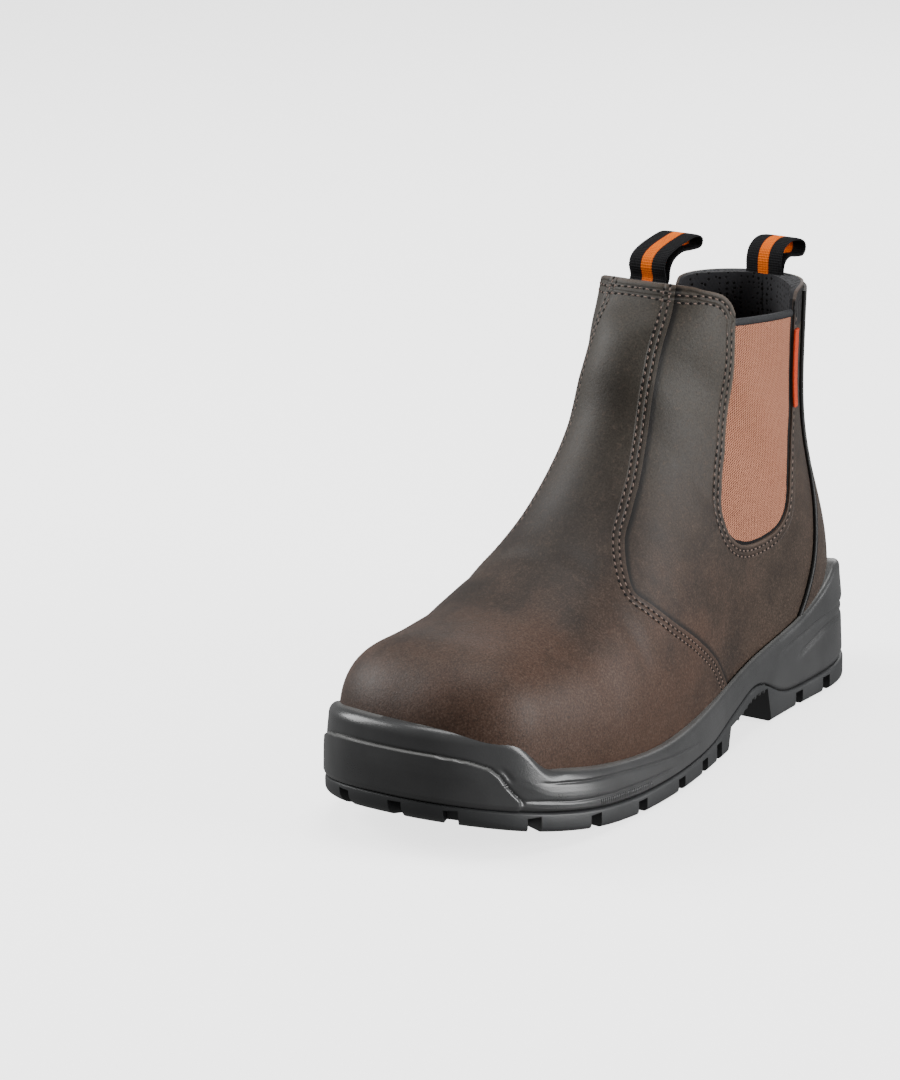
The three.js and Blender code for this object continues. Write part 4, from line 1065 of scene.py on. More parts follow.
@dataclass
class Upper:
    """Vamp, quarters and lining."""

    bench: Bench
    last: Last
    rows: int = 190
    columns: int = 72
    lap: float = 0.9
    leather: float = 1.3
    wall: float = 2.4
    padding: float = 6.8
    slab: float = 6.0
    vamp: bpy.types.Object | None = None
    quarters: bpy.types.Object | None = None

    def steps(self, rows: int) -> Array:
        """Sections used for a form, closer together round toe and heel."""
        tip = 1 - np.cos(np.linspace(0, np.pi / 2, rows // 5))[:-1]
        body = np.linspace(1, 10, rows - rows // 5)
        heel = self.last.heel_at - np.array([0.3, 0.2, 0.12, 0.07, 0.03, 0.01, 0])
        return np.unique(np.round(np.concatenate([tip, body, heel]), 6))

    def form(self, name: str, inset: float, rows: int | None = None, columns: int | None = None,
             padding: float = 0.0) -> bpy.types.Object:
        """Whole foot and shaft as a closed solid.

        Args:
            name: object's name.
            inset: depth of its surface inside the quarters'.
            rows: sections, if not the usual number.
            columns: places up each section, if not the usual number.
            padding: how much deeper it lies at the back of the collar.

        Returns:
            The solid.
        """
        at = self.steps(rows or self.rows)[:, None]
        count = columns or self.columns
        up = (0.5 - 0.5 * np.cos(np.linspace(0, np.pi, count + 1))) ** 0.9
        deep = inset + padding * smooth(at, 8.7, 9.35) * (1 - smooth(up[None], 0.05, 0.32))
        outer = self.last.point(at, up[None], LATERAL, deep)
        inner = self.last.point(at, up[None, ::-1], MEDIAL, deep[:, ::-1])
        return self.bench.rings(name, np.concatenate([outer, inner], axis=1))

    @staticmethod
    def seam_path() -> Array:
        """The seam as sections and shares, from the feather line round its tip to the top line."""
        lower = [(r[0], r[1]) for r in SEAM_ROWS[::-1] if r[0] <= 4.42]
        upper = [(r[0], r[2]) for r in SEAM_ROWS[1:]]
        return np.array(smooth_line([*lower, *upper], 16))

    def seam(self, at: Array) -> tuple[Array, Array]:
        """The quarter's low and high edge at each section."""
        place, up = self.seam_path().T
        tip = int(np.argmin(place))
        return np.interp(at, place[tip::-1], up[tip::-1]), np.interp(at, place[tip:], up[tip:])

    def seam_line(self, side: float, shift: float) -> Array:
        """Line on the vamp beside its lapped edge.

        Args:
            side: LATERAL or MEDIAL.
            shift: distance in front of the edge, in mm.

        Returns:
            (n, 3) points.
        """
        at, up = self.seam_path().T
        at, up, step = np.clip(at, 0, 9.98), np.clip(up, 0.01, 0.995), 0.01
        base = self.last.point(at, up, side, -self.lap)
        normal = np.cross(self.last.point(at + step, up, side, -self.lap) - base,
                          self.last.point(at, up - step, side, -self.lap) - base)
        normal /= np.linalg.norm(normal, axis=1, keepdims=True)
        way = np.gradient(base, axis=0)
        way /= np.linalg.norm(way, axis=1, keepdims=True)
        across = np.cross(way, normal)
        if across[len(across) // 3, 1] < 0:
            across = -across
        return base + across * shift

    def mark_edges(self, piece: bpy.types.Object) -> None:
        """Store how far each point lies from the lapped seam and from the cut edges, in mm."""
        marks = np.concatenate([spread(self.seam_line(side, 0), 0.5)[0] for side in (LATERAL, MEDIAL)])
        tree = KDTree(len(marks))
        for i, mark in enumerate(marks):
            tree.insert(mark, i)
        tree.balance()
        edges = [smooth_line([*GORE_FRONT, *GORE_BOTTOM, *GORE_BACK]), smooth_line(COLLAR_FRONT),
                 smooth_line(COLLAR_BACK)]
        self.bench.share(piece, "seam", lambda x, s, z: np.array([tree.find(q)[2] for q in zip(x, s, z)]))
        self.bench.share(piece, "trim", lambda x, s, z: np.min([distance_to_line(s, z, e)[0] for e in edges],
                                                               axis=0))

    def slab_over(self, name: str, side: float, inset: float, behind: float = 0.0) -> bpy.types.Object:
        """Solid over a quarter, from outside the boot down to `inset`."""
        at = np.concatenate([3.2 + 0.4 * np.linspace(0, 1, 25)[:-1] ** 2, np.linspace(3.6, 10, self.rows)])
        low, high = self.seam(np.maximum(at - behind, 3.2))
        low = np.where(low < 1e-6, -0.05, low)
        share = np.linspace(0, 1, self.columns)
        up = mix(low[:, None], high[:, None], share[None])
        outside = self.last.point(at[:, None], up, side, inset - self.slab)
        inside = self.last.point(at[:, None], up, side, inset)
        return self.bench.rings(name, np.concatenate([outside, inside[:, ::-1]], axis=1))

    def open_outline(self) -> list[tuple[float, float]]:
        """Side view of all that is open above the collar, with both gores."""
        front = smooth_line([*GORE_FRONT, *GORE_BOTTOM, *GORE_BACK])
        return [(305, 260), (305, 196), *smooth_line(COLLAR_FRONT)[::-1], *front,
                *smooth_line(COLLAR_BACK), (-305, 178.4), (-305, 260)]

    def build(self, vamp: bpy.types.Material, quarter: bpy.types.Material, lining: bpy.types.Material) -> None:
        """Make and dress the three pieces.

        Args:
            vamp: leather of the vamp.
            quarter: leather of the quarters.
            lining: finish of the lining.
        """
        bench = self.bench
        opening = bench.prism("opening", self.open_outline())
        inner = self.form("inner", 0.12)
        self.vamp = bench.carve(self.form("vamp", -self.lap), inner)
        for side in (LATERAL, MEDIAL):
            bench.carve(self.vamp, self.slab_over("slab", side, 0.13))
        bench.carve(self.vamp, opening, keep_tools=True)
        bench.soften(self.vamp)
        self.mark_edges(self.vamp)
        bench.finish(self.vamp, vamp, "leather", ["upper"])
        self.quarters = bench.carve(self.form("quarters", 0.0), self.form("inner", self.leather))
        bench.carve(self.quarters, opening, keep_tools=True)
        bench.soften(self.quarters)
        self.mark_edges(self.quarters)
        bench.finish(self.quarters, quarter, "leather")
        inside = bench.carve(self.form("lining", self.leather + 0.02, 110, 44),
                             self.form("inner", self.wall, 110, 44, self.padding), opening)
        bench.soften(inside)
        bench.finish(inside, lining, "leather")


@dataclass
class HeelCounter:
    """Leather overlay on the back of the heel, with a cord along its front edge."""

    bench: Bench
    last: Last
    upper: Upper
    thickness: float = 1.3
    gap: float = 0.25
    cord: float = 1.15

    def build(self, leather: bpy.types.Material, piping: bpy.types.Material) -> None:
        """Make and dress counter and piping.

        Args:
            leather: finish of the counter.
            piping: finish of the cord.
        """
        bench = self.bench
        line = smooth_line(PIPING_LINE)
        outline = [(-40, line[0][1]), *[(s - 0.3, z) for s, z in line], (-40, line[-1][1])]
        counter = bench.carve(self.upper.form("heel_counter_leather", -self.gap - self.thickness),
                              self.upper.form("inner", -self.gap))
        bench.carve(counter, bench.prism("outline", outline), how=Cut.KEEP_COMMON)
        bench.soften(counter)
        bench.finish(counter, leather, "leather", ["heel_counter"])
        for side, name in ((LATERAL, "piping_lateral"), (MEDIAL, "piping_medial")):
            self.lay_cord(side, line, piping, name)

    def lay_cord(self, side: float, line: Sequence[tuple[float, float]], finish: bpy.types.Material,
                 node: str) -> None:
        """Run the cord up one side.

        Args:
            side: LATERAL or MEDIAL.
            line: side view of its path.
            finish: its material.
            node: the part's node that it replaces.
        """
        s, z = np.array(line).T
        path = self.last.side_point(s + self.cord, z, side, -0.75)
        piece = tube(self.bench, f"{node}_cord", path, self.cord, 10)
        self.bench.soften(piece, 60)
        self.bench.finish(piece, finish, "piping", [node])


def tube(bench: Bench, name: str, path: Array, radius: float, sides: int) -> bpy.types.Object:
    """Round cord along a path in mm.

    Args:
        bench: where it is made.
        name: object's name.
        path: (n, 3) points.
        radius: of the cord.
        sides: faces round it.

    Returns:
        The closed tube.
    """
    way = np.gradient(path, axis=0)
    way /= np.linalg.norm(way, axis=1, keepdims=True)
    first = np.cross(way, [1.0, 0.0, 0.0])
    first /= np.linalg.norm(first, axis=1, keepdims=True)
    second = np.cross(way, first)
    turn = np.arange(sides) / sides * math.tau
    ring = (first[:, None] * np.cos(turn)[None, :, None] + second[:, None] * np.sin(turn)[None, :, None]) * radius
    return bench.rings(name, path[:, None] + ring)


@dataclass
class Gore:
    """Elastic side panel with its taped top edge."""

    bench: Bench
    last: Last
    side: float
    name: str
    recess: float = 0.9
    thickness: float = 1.5
    rows: int = 130
    columns: int = 84

    def outline(self) -> tuple[Array, Array, Array]:
        """Heights, and the front and back edge at each."""
        front = np.array(smooth_line([*GORE_FRONT, *GORE_BOTTOM[:2]]))
        back = np.array(smooth_line([*GORE_BOTTOM[1:], *GORE_BACK]))
        share = np.linspace(0, 1, self.rows) ** 1.25
        low = 81.75
        z = mix(low, 176.5, share)
        order = np.argsort(front[:, 1])
        front_s = np.interp(z, front[order, 1], front[order, 0]) + 0.15
        order = np.argsort(back[:, 1])
        back_s = np.interp(z, back[order, 1], back[order, 0]) - 0.15
        return z, front_s, back_s

    def build(self, elastic: bpy.types.Material, tape: bpy.types.Material) -> None:
        """Make and dress panel and tape.

        Args:
            elastic: finish of the panel.
            tape: finish of its bound edge.
        """
        z, front, back = self.outline()
        share = np.linspace(0, 1, self.columns)
        s = mix(back[:, None], front[:, None], share[None])
        slope = (175.2 - 169.0) / (102.2 - 50.9)
        top = 169.0 + slope * (s - 50.9)
        heights = z[:, None] - np.maximum(z[:, None] - top, 0) + 0 * s
        pillow = np.minimum(s - back[:, None], front[:, None] - s)
        bulge = 0.5 * smooth(pillow, 0, 14) * smooth(z[:, None], 84, 100)
        inset = self.recess - bulge
        outer = self.last.side_point(s, heights, self.side, inset)
        inner = self.last.side_point(s, heights, self.side, inset + self.thickness)
        uv = np.stack([s, heights], -1)
        if self.side < 0:
            outer, inner = outer[:, ::-1], inner[:, ::-1]
            uv = uv[:, ::-1]
        panel = self.bench.shell(f"gore_panel_{self.name}", outer, inner, uv)
        ahead, behind = smooth_line(GORE_FRONT), smooth_line([GORE_FRONT[-1], *GORE_BOTTOM, *GORE_BACK])
        # Distance from the leather's edges, scaled; the elastic paints a shadow band from it.
        self.bench.share(panel, "edge", lambda x, ps, pz: np.minimum(
            distance_to_line(ps, pz, ahead)[0] * 3.2,
            distance_to_line(ps, pz, behind)[0] * mix(2.0, 1.0, smooth(pz, 84, 125))))
        self.bench.soften(panel, 50)
        self.bench.finish(panel, elastic, "elastic", [f"gore_{self.name}"])
        self.bind(tape)

    def bind(self, tape: bpy.types.Material) -> None:
        """Fold the tape over the top edge."""
        s = np.linspace(51.3, 101.9, 60)
        turn = np.linspace(0, 1, 22)
        lift = mix(-0.4, 3.0, 0.5 - 0.5 * np.cos(turn * math.tau))
        depth = self.recess + 0.9 - 1.25 * np.sin(turn * math.tau)
        z = 169.0 + (175.2 - 169.0) / (102.2 - 50.9) * (s - 50.9)
        rings = self.last.side_point(s[:, None], z[:, None] + lift[None], self.side, depth[None])
        piece = self.bench.rings(f"gore_tape_{self.name}", rings)
        self.bench.soften(piece, 60)
        self.bench.finish(piece, tape, "binding", [f"gore_binding_{self.name}"])


@dataclass(frozen=True)
class Groove:
    """Line moulded into the sole's side: side-view corners, width and depth (below 0 stands out)."""

    corners: tuple[tuple[float, float], ...]
    width: float
    depth: float
    fade: float = 0.12


HEEL_BAND = ((81, 26.5), (74.8, 28.6), (66.8, 30.4), (57, 31.9), (49.5, 33.4), (41, 34.5), (20, 36), (0, 36.5))
SIDE_GROOVES = [
    Groove(((284.8, 37.4), (282.4, 33.4), (280.2, 28.8)), 0.9, 0.45, 0.4),
    Groove(((281, 25.2), (276.4, 21.6), (267, 19.6), (257, 17.4), (247, 15.9), (232, 14.2), (217, 13.0), (200, 12.0),
            (185, 11.6)), 0.55, 0.5),
    Groove(((272, 28.5), (267, 26.9), (247, 23.2), (217, 19.2), (188, 15.8), (169, 14.6), (160, 14.4)), 0.55, 0.55),
    Groove(HEEL_BAND, 1.2, 0.7),
    Groove(((65, 21.3), (57, 23.7), (47.6, 26.5), (40, 28.6), (32.5, 29.9), (15, 31.2), (0, 31.6)), 1.2, 1.2),
]
BUMPER_EDGE = ((305.0, 43.6), (300, 42.2), (293, 39.6), (287.6, 36.4), (285, 33.0), (283, 28.6), (280.6, 24.8), (278, 21.4))


@dataclass
class Sole:
    """Midsole with rim, side lines and toe bumper, and the lugged tread."""

    bench: Bench
    upper: Upper
    length: float = 305.0
    width: float = 117.0
    heel_width: float = 81.0
    heel_end: float = 42.1
    toe_start: float = 225.1
    toe_shift: float = -6.55
    spring_rise: float = 16.0
    lug: float = 8.0
    lip: float = 3.0
    toe_lip: float = 1.4
    count: int = 380

    def __post_init__(self) -> None:
        """Lay out the outline and the curves of the side."""
        rows = [(0.138, 0.5, 0, 0), (0.197, 0.5, 0.002, 0.002), (0.295, 0.5, 0.015, 0.004), (0.41, 0.3, 0.192, 0.151),
                (0.492, 0, 0.444, 0.389), (0.59, 0, 0.487, 0.44), (0.672, 0, 0.501, 0.487), (0.738, 0, 0.497, 0.504)]
        s = [r[0] * self.length for r in rows]
        self.outer = Spline(s, [r[1] * self.heel_width + r[2] * self.width for r in rows])
        self.inner = Spline(s, [r[1] * self.heel_width + r[3] * self.width for r in rows])
        tread = [(-0.01, 1.44), (0.066, 1.25), (0.197, 1.06), (0.256, 1.38), (0.305, 2.25), (0.351, 2.4),
                 (0.384, 2.05), (0.425, 1.65), (0.475, 1.2), (0.525, 1.04), (0.69, 1), (1.01, 1)]
        self.seam_curve = Spline([r[0] * self.length for r in tread], [r[1] * self.lug for r in tread])
        lean = [(0, 0.036), (0.03, 0.028), (0.07, 0.015), (0.14, 0.003), (0.3, 0), (0.41, 0.004), (0.49, 0.012),
                (0.6, 0.026), (0.74, 0.025), (0.84, 0.017), (0.9, 0.012), (0.95, 0.016), (1, 0.012)]
        self.shoulder = Spline([r[0] * self.length for r in lean], [r[1] * self.width for r in lean])
        lateral, medial = self.half(self.outer, 1.0), self.half(self.inner, -1.0)
        loop = np.concatenate([lateral, medial[::-1]])
        ahead, back = np.roll(loop, -2, axis=0), np.roll(loop, 2, axis=0)
        way = ahead - back
        way /= np.linalg.norm(way, axis=1, keepdims=True)
        self.loop = loop
        self.normals = np.stack([way[:, 1], -way[:, 0]], -1)

    def half(self, wide: Spline, sign: float) -> Array:
        """One side of the outline from heel to toe, evenly spaced."""
        turn = np.linspace(0, np.pi / 2, 300)
        heel = np.stack([sign * wide(self.heel_end) * np.sin(turn) ** 0.8,
                         self.heel_end * (1 - np.cos(turn) ** 0.8)], -1)
        s = np.linspace(self.heel_end, self.toe_start, 300)[1:-1]
        body = np.stack([sign * wide(s), s], -1)
        along, across = np.sin(turn) ** (2 / 2.34), np.cos(turn) ** (2 / 2.34)
        toe = np.stack([sign * wide(self.toe_start) * across + self.toe_shift * along ** 2,
                        mix(self.toe_start, self.length, along)], -1)
        line = np.concatenate([heel, body, toe])
        run = np.concatenate([[0], np.cumsum(np.hypot(*np.diff(line, axis=0).T))])
        marks = run[-1] * np.interp(np.linspace(0, 1, self.count), [0, 0.68, 1], [0, 0.78, 1])
        return np.stack([np.interp(marks, run, line[:, k]) for k in (0, 1)], -1)

    def spring(self, s: Array) -> Array:
        """Rise of the tread towards the toe."""
        start = 0.695 * self.length
        return self.spring_rise * np.clip((s - start) / (self.length - start), 0, 1) ** 1.6

    def seam(self, s: Array) -> Array:
        """Height of the line between tread and midsole."""
        return self.seam_curve(s) + self.spring(s)

    def ring(self, inset: Array, height: Callable[[Array, Array], Array]) -> Array:
        """Ring of the side: inset from the outline, height from s and from the rim's place."""
        moved = self.loop - self.normals * np.asarray(inset)[..., None]
        rim_s = self.loop[:, 1] - self.normals[:, 1] * 0.06 * self.width
        return np.stack([moved[:, 0], moved[:, 1], height(moved[:, 1], rim_s) + 0 * moved[:, 1]], -1)

    def midsole(self, finish: bpy.types.Material) -> bpy.types.Object:
        """Make and dress the midsole.

        Args:
            finish: its material.

        Returns:
            The midsole.
        """
        knots = np.array([(0, 0, 1.5), (0.03, 0, 0.9), (0.07, 0, 0.45), (0.4, 0.3, 0.2), (0.5, 0.38, 0.25),
                          (0.62, 0.5, 0.4), (0.72, 0.62, 0.5), (0.86, 0.85, 0.55), (1, 1, 0.6)])
        levels = np.concatenate([np.linspace(0, 0.08, 8)[:-1], np.linspace(0.08, 0.8, 52)[:-1],
                                 0.8 + 0.2 * np.sin(np.linspace(0, np.pi / 2, 30))])
        rings = []
        for level in levels:
            lean, step = (np.interp(level, knots[:, 0], knots[:, k]) for k in (1, 2))

            def height(s: Array, rim: Array, share: float = level) -> Array:
                """Height at this level."""
                return mix(self.seam(s) + 0.3, RIM(rim), share)

            plain = self.shoulder(self.loop[:, 1]) * lean + step
            low = self.ring(plain, height)
            under = (1 - level) * (low[:, 2] - self.seam(low[:, 1])) / max(level, 0.05)
            lip = self.lip + self.toe_lip * smooth(low[:, 1], 256, 264)
            crest = np.clip(1 - under / lip, 0, 1) * (level > 0.5)
            roll = lip * (1 - np.sqrt(1 - crest ** 2)) * 0.8
            rings.append(self.ring(plain + self.relief(low[:, 1], low[:, 2]) + roll, height))
        inset = self.shoulder(self.loop[:, 1]) + self.lip * 0.8 + 2.2
        rings.append(self.ring(inset, lambda s, r: RIM(r) + 0.1))
        rings.append(self.ring(inset * 0 + 16.0, lambda s, r: RIM(r)))
        block = self.bench.rings("midsole_block", np.array(rings))
        seat = self.upper.form("seat", -self.upper.lap - 0.05, 130, 50)
        for side in (LATERAL, MEDIAL):
            self.bench.carve(seat, self.upper.slab_over("slab", side, -0.05, 0.01))
        self.bench.carve(block, seat)
        self.bench.soften(block, 38)
        self.bench.share(block, "flash", self.flash)
        self.bench.finish(block, finish, "midsole", ["midsole"])
        return block

    def flash(self, x: Array, s: Array, z: Array) -> Array:
        """How light the moulding edges are at each point, 0 to 1: worn flashing along the bumper's edge, and a
        painted highlight line along the top of the rim.
        """
        edge = 0.9 * np.exp(-(distance_to_line(s, z, BUMPER_EDGE)[0] / 0.45) ** 2) * smooth(s, 283, 290)
        # Painted highlight line along the top of the rim.
        rim = 0.85 * np.exp(-((RIM(s) + 0.2 - z) / 0.5) ** 2) * (abs(x) > 8)
        return np.clip(edge + rim, 0, 1)

    def relief(self, s: Array, z: Array) -> Array:
        """Moulded lines and steps of the side, inwards in mm."""
        total = np.zeros(s.shape)
        for groove in SIDE_GROOVES:
            far, share = distance_to_line(s, z, groove.corners)
            ends = smooth(share, 0, groove.fade) * (1 - smooth(share, 1 - groove.fade, 1)) if groove.fade else 1
            if groove.corners[-1][0] == 0:
                ends = smooth(share, 0, groove.fade)
            total += ends * groove.depth * np.exp(-(far / groove.width) ** 2)
        edge = np.array(BUMPER_EDGE)[::-1]
        over = np.interp(s, edge[:, 0], edge[:, 1])
        far, _ = distance_to_line(s, z, BUMPER_EDGE)
        inside = smooth(np.where(over > z, far, -far), -0.45, 0.45) * smooth(s, 277.6, 279.4)
        total -= 1.0 * inside
        heel = np.array(HEEL_BAND)[::-1]
        over_band = smooth(z - np.interp(s, heel[:, 0], heel[:, 1]), -1.0, 1.0)
        total -= 0.8 * over_band * (1 - smooth(s, 58, 82))
        total += 0.55 * np.exp(-((far - 0.3) / 0.6) ** 2) * (1 - inside)
        return total

    def outsole(self, finish: bpy.types.Material) -> bpy.types.Object:
        """Make and dress the tread.

        Args:
            finish: its material.

        Returns:
            The tread.
        """
        def level(inset: float, height: Callable[[Array], Array]) -> Array:
            """Ring at one inset and height."""
            return self.ring(np.full(len(self.loop), inset), lambda s, r: height(s))

        turn = np.linspace(np.pi / 2, 0, 6)
        wide = 1 + 1.3 * smooth(self.loop[:, 1], 275, 300)
        rings = [self.ring(2.0 * wide * (1 - math.cos(a)), lambda s, r, a=a: self.spring(s)
                           + 2.2 * wide * (1 - math.sin(a))) for a in turn]
        rings += [level(0, lambda s: self.seam(s) - 1.3),
                 level(0.15, lambda s: self.seam(s) - 0.7), level(0.6, lambda s: self.seam(s) - 0.25),
                 level(1.3, self.seam)]
        tread = self.bench.rings("tread", np.array(rings))
        arch = [(85.4, -9), (91.5, 16), (99, 16.4), (107, 15.5), (117, 12.3), (129, 10.4), (132.4, 0), (132.4, -9)]
        self.bench.carve(tread, self.bench.prism("arch", smooth_line(arch[1:6], 4) + arch[6:] + arch[:1]))
        for box in self.cuts():
            self.bench.carve(tread, box)
        self.bench.soften(tread, 32)
        self.bench.finish(tread, finish, "tread", ["outsole"])
        return tread

    def ribs(self, finish: bpy.types.Material, block: bpy.types.Object) -> None:
        """Lay the fine ribs of the side and the fins under the arch.

        Args:
            finish: their material.
            block: the finished midsole, which carries the fine ribs.
        """
        host = BVHTree.FromObject(block, bpy.context.evaluated_depsgraph_get())
        places, outs = [], []
        for side in (LATERAL, MEDIAL):
            wide = self.outer if side > 0 else self.inner
            for s in np.arange(206.0, 242.0, 1.25):
                z = float(np.interp(s, [206, 217, 232, 242], [10.6, 11.2, 12.4, 13.4]))
                spot, normal, _, _ = host.find_nearest(Vector(self.bench.place(np.array(
                    [side * float(wide(s)), s, z]))))
                places.append(spot - normal * 0.0001)
                outs.append(normal)
        rows = BeadRow(self.bench, Bead.RIB, 2.2, 0.6, 0.7)
        rows.lay("side_ribs", np.array(places), np.tile([0.0, 0.0, 1.0], (len(places), 1)), np.array(outs),
                 finish, "midsole")
        fins = []
        for side in (LATERAL, MEDIAL):
            wide = self.outer if side > 0 else self.inner
            for s in np.arange(93.5, 121.0, 4.3):
                z = float(np.interp(s, [91.5, 99, 107, 117, 122], [16.0, 16.4, 15.5, 12.3, 11.4]))
                fins.append([side * (float(wide(s)) - 4.4), s, z + 0.3])
        bars = BeadRow(self.bench, Bead.RIB, 7.6, 1.7, 4.2)
        bars.lay("arch_fins", self.bench.place(np.array(fins)), np.tile([1.0, 0.0, 0.0], (len(fins), 1)),
                 np.tile([0.0, 0.0, 1.0], (len(fins), 1)), finish, "tread")

    def box(self, x: float, s: float, way: tuple[float, float], long: float, wide: float, low: float,
            high: float) -> tuple[list[list[float]], list[list[int]]]:
        """Corners and faces of a cutting box that points along `way`."""
        a, b = np.array(way) * long / 2, np.array([-way[1], way[0]]) * wide / 2
        plan = [np.array([x, s]) + u * a + v * b for u, v in ((1, 1), (1, -1), (-1, -1), (-1, 1))]
        points = [[*q, z] for z in (low, high) for q in plan]
        return points, [[0, 1, 2, 3], [7, 6, 5, 4], [0, 4, 5, 1], [1, 5, 6, 2], [2, 6, 7, 3], [3, 7, 4, 0]]

    def cuts(self) -> list[bpy.types.Object]:
        """Notches of the edge and grooves of the ground side, as cutting solids."""
        groups: list[list[tuple[Any, Any]]] = [[], [], []]
        for sign in (1.0, -1.0):
            part = np.arange(self.count) + (0 if sign > 0 else self.count)
            for share in (0.128, 0.203, 0.47, 0.522, 0.597, 0.702, 0.803, 0.898):
                i = part[np.argmin(abs(self.loop[part, 1] - share * self.length))]
                groups[0].append(self.notch(i))
        for share in (-0.21, 0.01, 0.2):
            front = np.where(self.loop[:, 1] > self.toe_start, abs(self.loop[:, 0] - share * self.width), 999)
            groups[0].append(self.notch(int(np.argmin(front))))
        for share in (0.075, 0.14, 0.205, 0.5, 0.56, 0.62, 0.68, 0.74, 0.8, 0.86):
            s = share * self.length
            rise = float(self.spring(np.array(s)))
            groups[1].append(self.box(0, s, (1, 0), 0.32 * self.width, 4, rise - 8, rise + 5))
        for x, low, high in ((-0.19, 0.47, 0.86), (0.19, 0.47, 0.86), (-0.14, 0.06, 0.29), (0.14, 0.06, 0.29)):
            groups[2].append(self.box(x * self.width, (low + high) / 2 * self.length, (0, 1),
                                      (high - low) * self.length, 4, -8, 5))
        tools = []
        for group in groups:
            points, faces = [], []
            for corners, sides in group:
                faces += [[k + len(points) for k in side] for side in sides]
                points += corners
            tools.append(self.bench.mesh("cuts", np.array(points), faces))
        return tools

    def notch(self, i: int) -> tuple[Any, Any]:
        """Cutting box of the edge notch at one place of the outline."""
        (x, s), (nx, ns) = self.loop[i], self.normals[i]
        return self.box(x, s, (nx, ns), 30, 6, -8, float(self.seam(np.array(s))) - 2)


@dataclass
class Footbed:
    """Padded insole inside the boot."""

    bench: Bench
    last: Last
    inset: float = 2.7
    height: float = 4.6

    def build(self, finish: bpy.types.Material) -> None:
        """Make and dress the footbed.

        Args:
            finish: its material.
        """
        at = np.concatenate([[0.06, 0.12, 0.2, 0.3, 0.45, 0.65], np.linspace(0.85, 6.5, 60), [6.55, 6.585]])
        share = np.linspace(-1, 1, 41)
        edge = [self.last.point(at, 0.02, side, self.inset) for side in (LATERAL, MEDIAL)]
        across = (share[None] + 1) / 2
        low = mix(edge[0][:, None], edge[1][:, None], across[..., None])
        crown = self.height - 1.2 * abs(share[None]) ** 6 + 0.9 * share[None] ** 2
        high = low + np.stack([0 * crown, 0 * crown, crown], -1) * np.ones((len(at), 1, 1))
        uv = np.stack([low[..., 0], low[..., 1]], -1)
        piece = self.bench.shell("footbed", high, low + [0, 0, 0.4], uv)
        self.bench.soften(piece, 50)
        self.bench.finish(piece, finish, "insole", ["insole"])


@dataclass
class PullLoop:
    """Folded webbing loop that leans back from the collar."""

    bench: Bench
    name: str
    path: Sequence[tuple[float, float]]
    width: float = 17.5
    thickness: float = 1.15
    rib: float = 1.05

    def build(self, webbing: bpy.types.Material) -> None:
        """Make and dress the loop.

        Args:
            webbing: finish of the tape.
        """
        line = np.array(smooth_line(self.path, 14))
        run = np.concatenate([[0], np.cumsum(np.hypot(*np.diff(line, axis=0).T))])
        marks = np.arange(0, run[-1], self.rib / 5)
        middle = np.stack([np.interp(marks, run, line[:, k]) for k in (0, 1)], -1)
        soft = np.array([1, 4, 6, 4, 1]) / 16
        for k in (0, 1):
            middle[2:-2, k] = np.convolve(middle[:, k], soft, "valid")
        way = np.gradient(middle, axis=0)
        way /= np.linalg.norm(way, axis=1, keepdims=True)
        square = np.stack([way[:, 1], -way[:, 0]], -1)
        share = np.sin(np.linspace(-np.pi / 2, np.pi / 2, 31))
        ribs = 0.12 * np.sin(marks / self.rib * math.tau)[:, None]
        half = (self.thickness / 2 * (1 - 0.55 * abs(share[None]) ** 10) + ribs)
        faces = []
        for sign in (1, -1):
            offset = sign * half[..., None] * square[:, None]
            faces.append(np.stack([share[None] * self.width / 2 + 0 * half, middle[:, None, 0] + offset[..., 0],
                                   middle[:, None, 1] + offset[..., 1]], -1))
        uv = np.stack([share[None] * self.width / 2 + 0 * half, marks[:, None] + 0 * half], -1)
        piece = self.bench.shell(f"{self.name}_webbing", faces[0], faces[1], uv)
        self.bench.soften(piece, 70)
        self.bench.finish(piece, webbing, "webbing", [self.name])


FRONT_LOOP = [(124.8, 186.0), (121.0, 191.0), (118.5, 195.2), (118.9, 197.8), (119.5, 200.5), (117.7, 204.0), (112.5, 206.5),
              (104.0, 208.4), (95.0, 209.5), (90.1, 207.6), (91.4, 204.6), (97.5, 204.5), (105.5, 204.9),
              (112.1, 202.8), (115.2, 199.0), (115.9, 195.0), (118.6, 190.6), (122.0, 186.0)]
BACK_LOOP = [(26.2, 171.0), (26.6, 176.0), (26.8, 181.0), (26.6, 186.0), (24.3, 190.4), (18.8, 193.0),
             (12.3, 192.8), (7.3, 190.9), (6.1, 188.0), (8.3, 185.4), (13.2, 185.8), (18.8, 186.6), (22.9, 185.0),
             (24.6, 181.0), (24.4, 176.0), (24.2, 171.0)]


@dataclass
class SideTab:
    """Plain tab sewn on the back edge of the lateral gore."""

    bench: Bench
    last: Last
    low: float = 130.3
    high: float = 163.3
    width: float = 4.6

    def build(self, finish: bpy.types.Material) -> None:
        """Make and dress the tab.

        Args:
            finish: its material.
        """
        z = np.linspace(self.low, self.high, 60)
        edge = np.interp(z, [133.3, 169.0], [54.3, 50.9])
        share = np.linspace(0, 1, 12)
        s = edge[:, None] - self.width * (1 - share[None]) + 0.4
        round_off = 0.5 * (abs(share[None] * 2 - 1) ** 8)
        outer = self.last.side_point(s, z[:, None] + 0 * s, LATERAL, -1.35 + round_off)
        inner = self.last.side_point(s, z[:, None] + 0 * s, LATERAL, -0.3 + 0 * s)
        piece = self.bench.shell("orange_tab", outer, inner, np.stack([s, z[:, None] + 0 * s], -1))
        self.bench.soften(piece, 60)
        self.bench.finish(piece, finish, "tab", ["side_tab"])


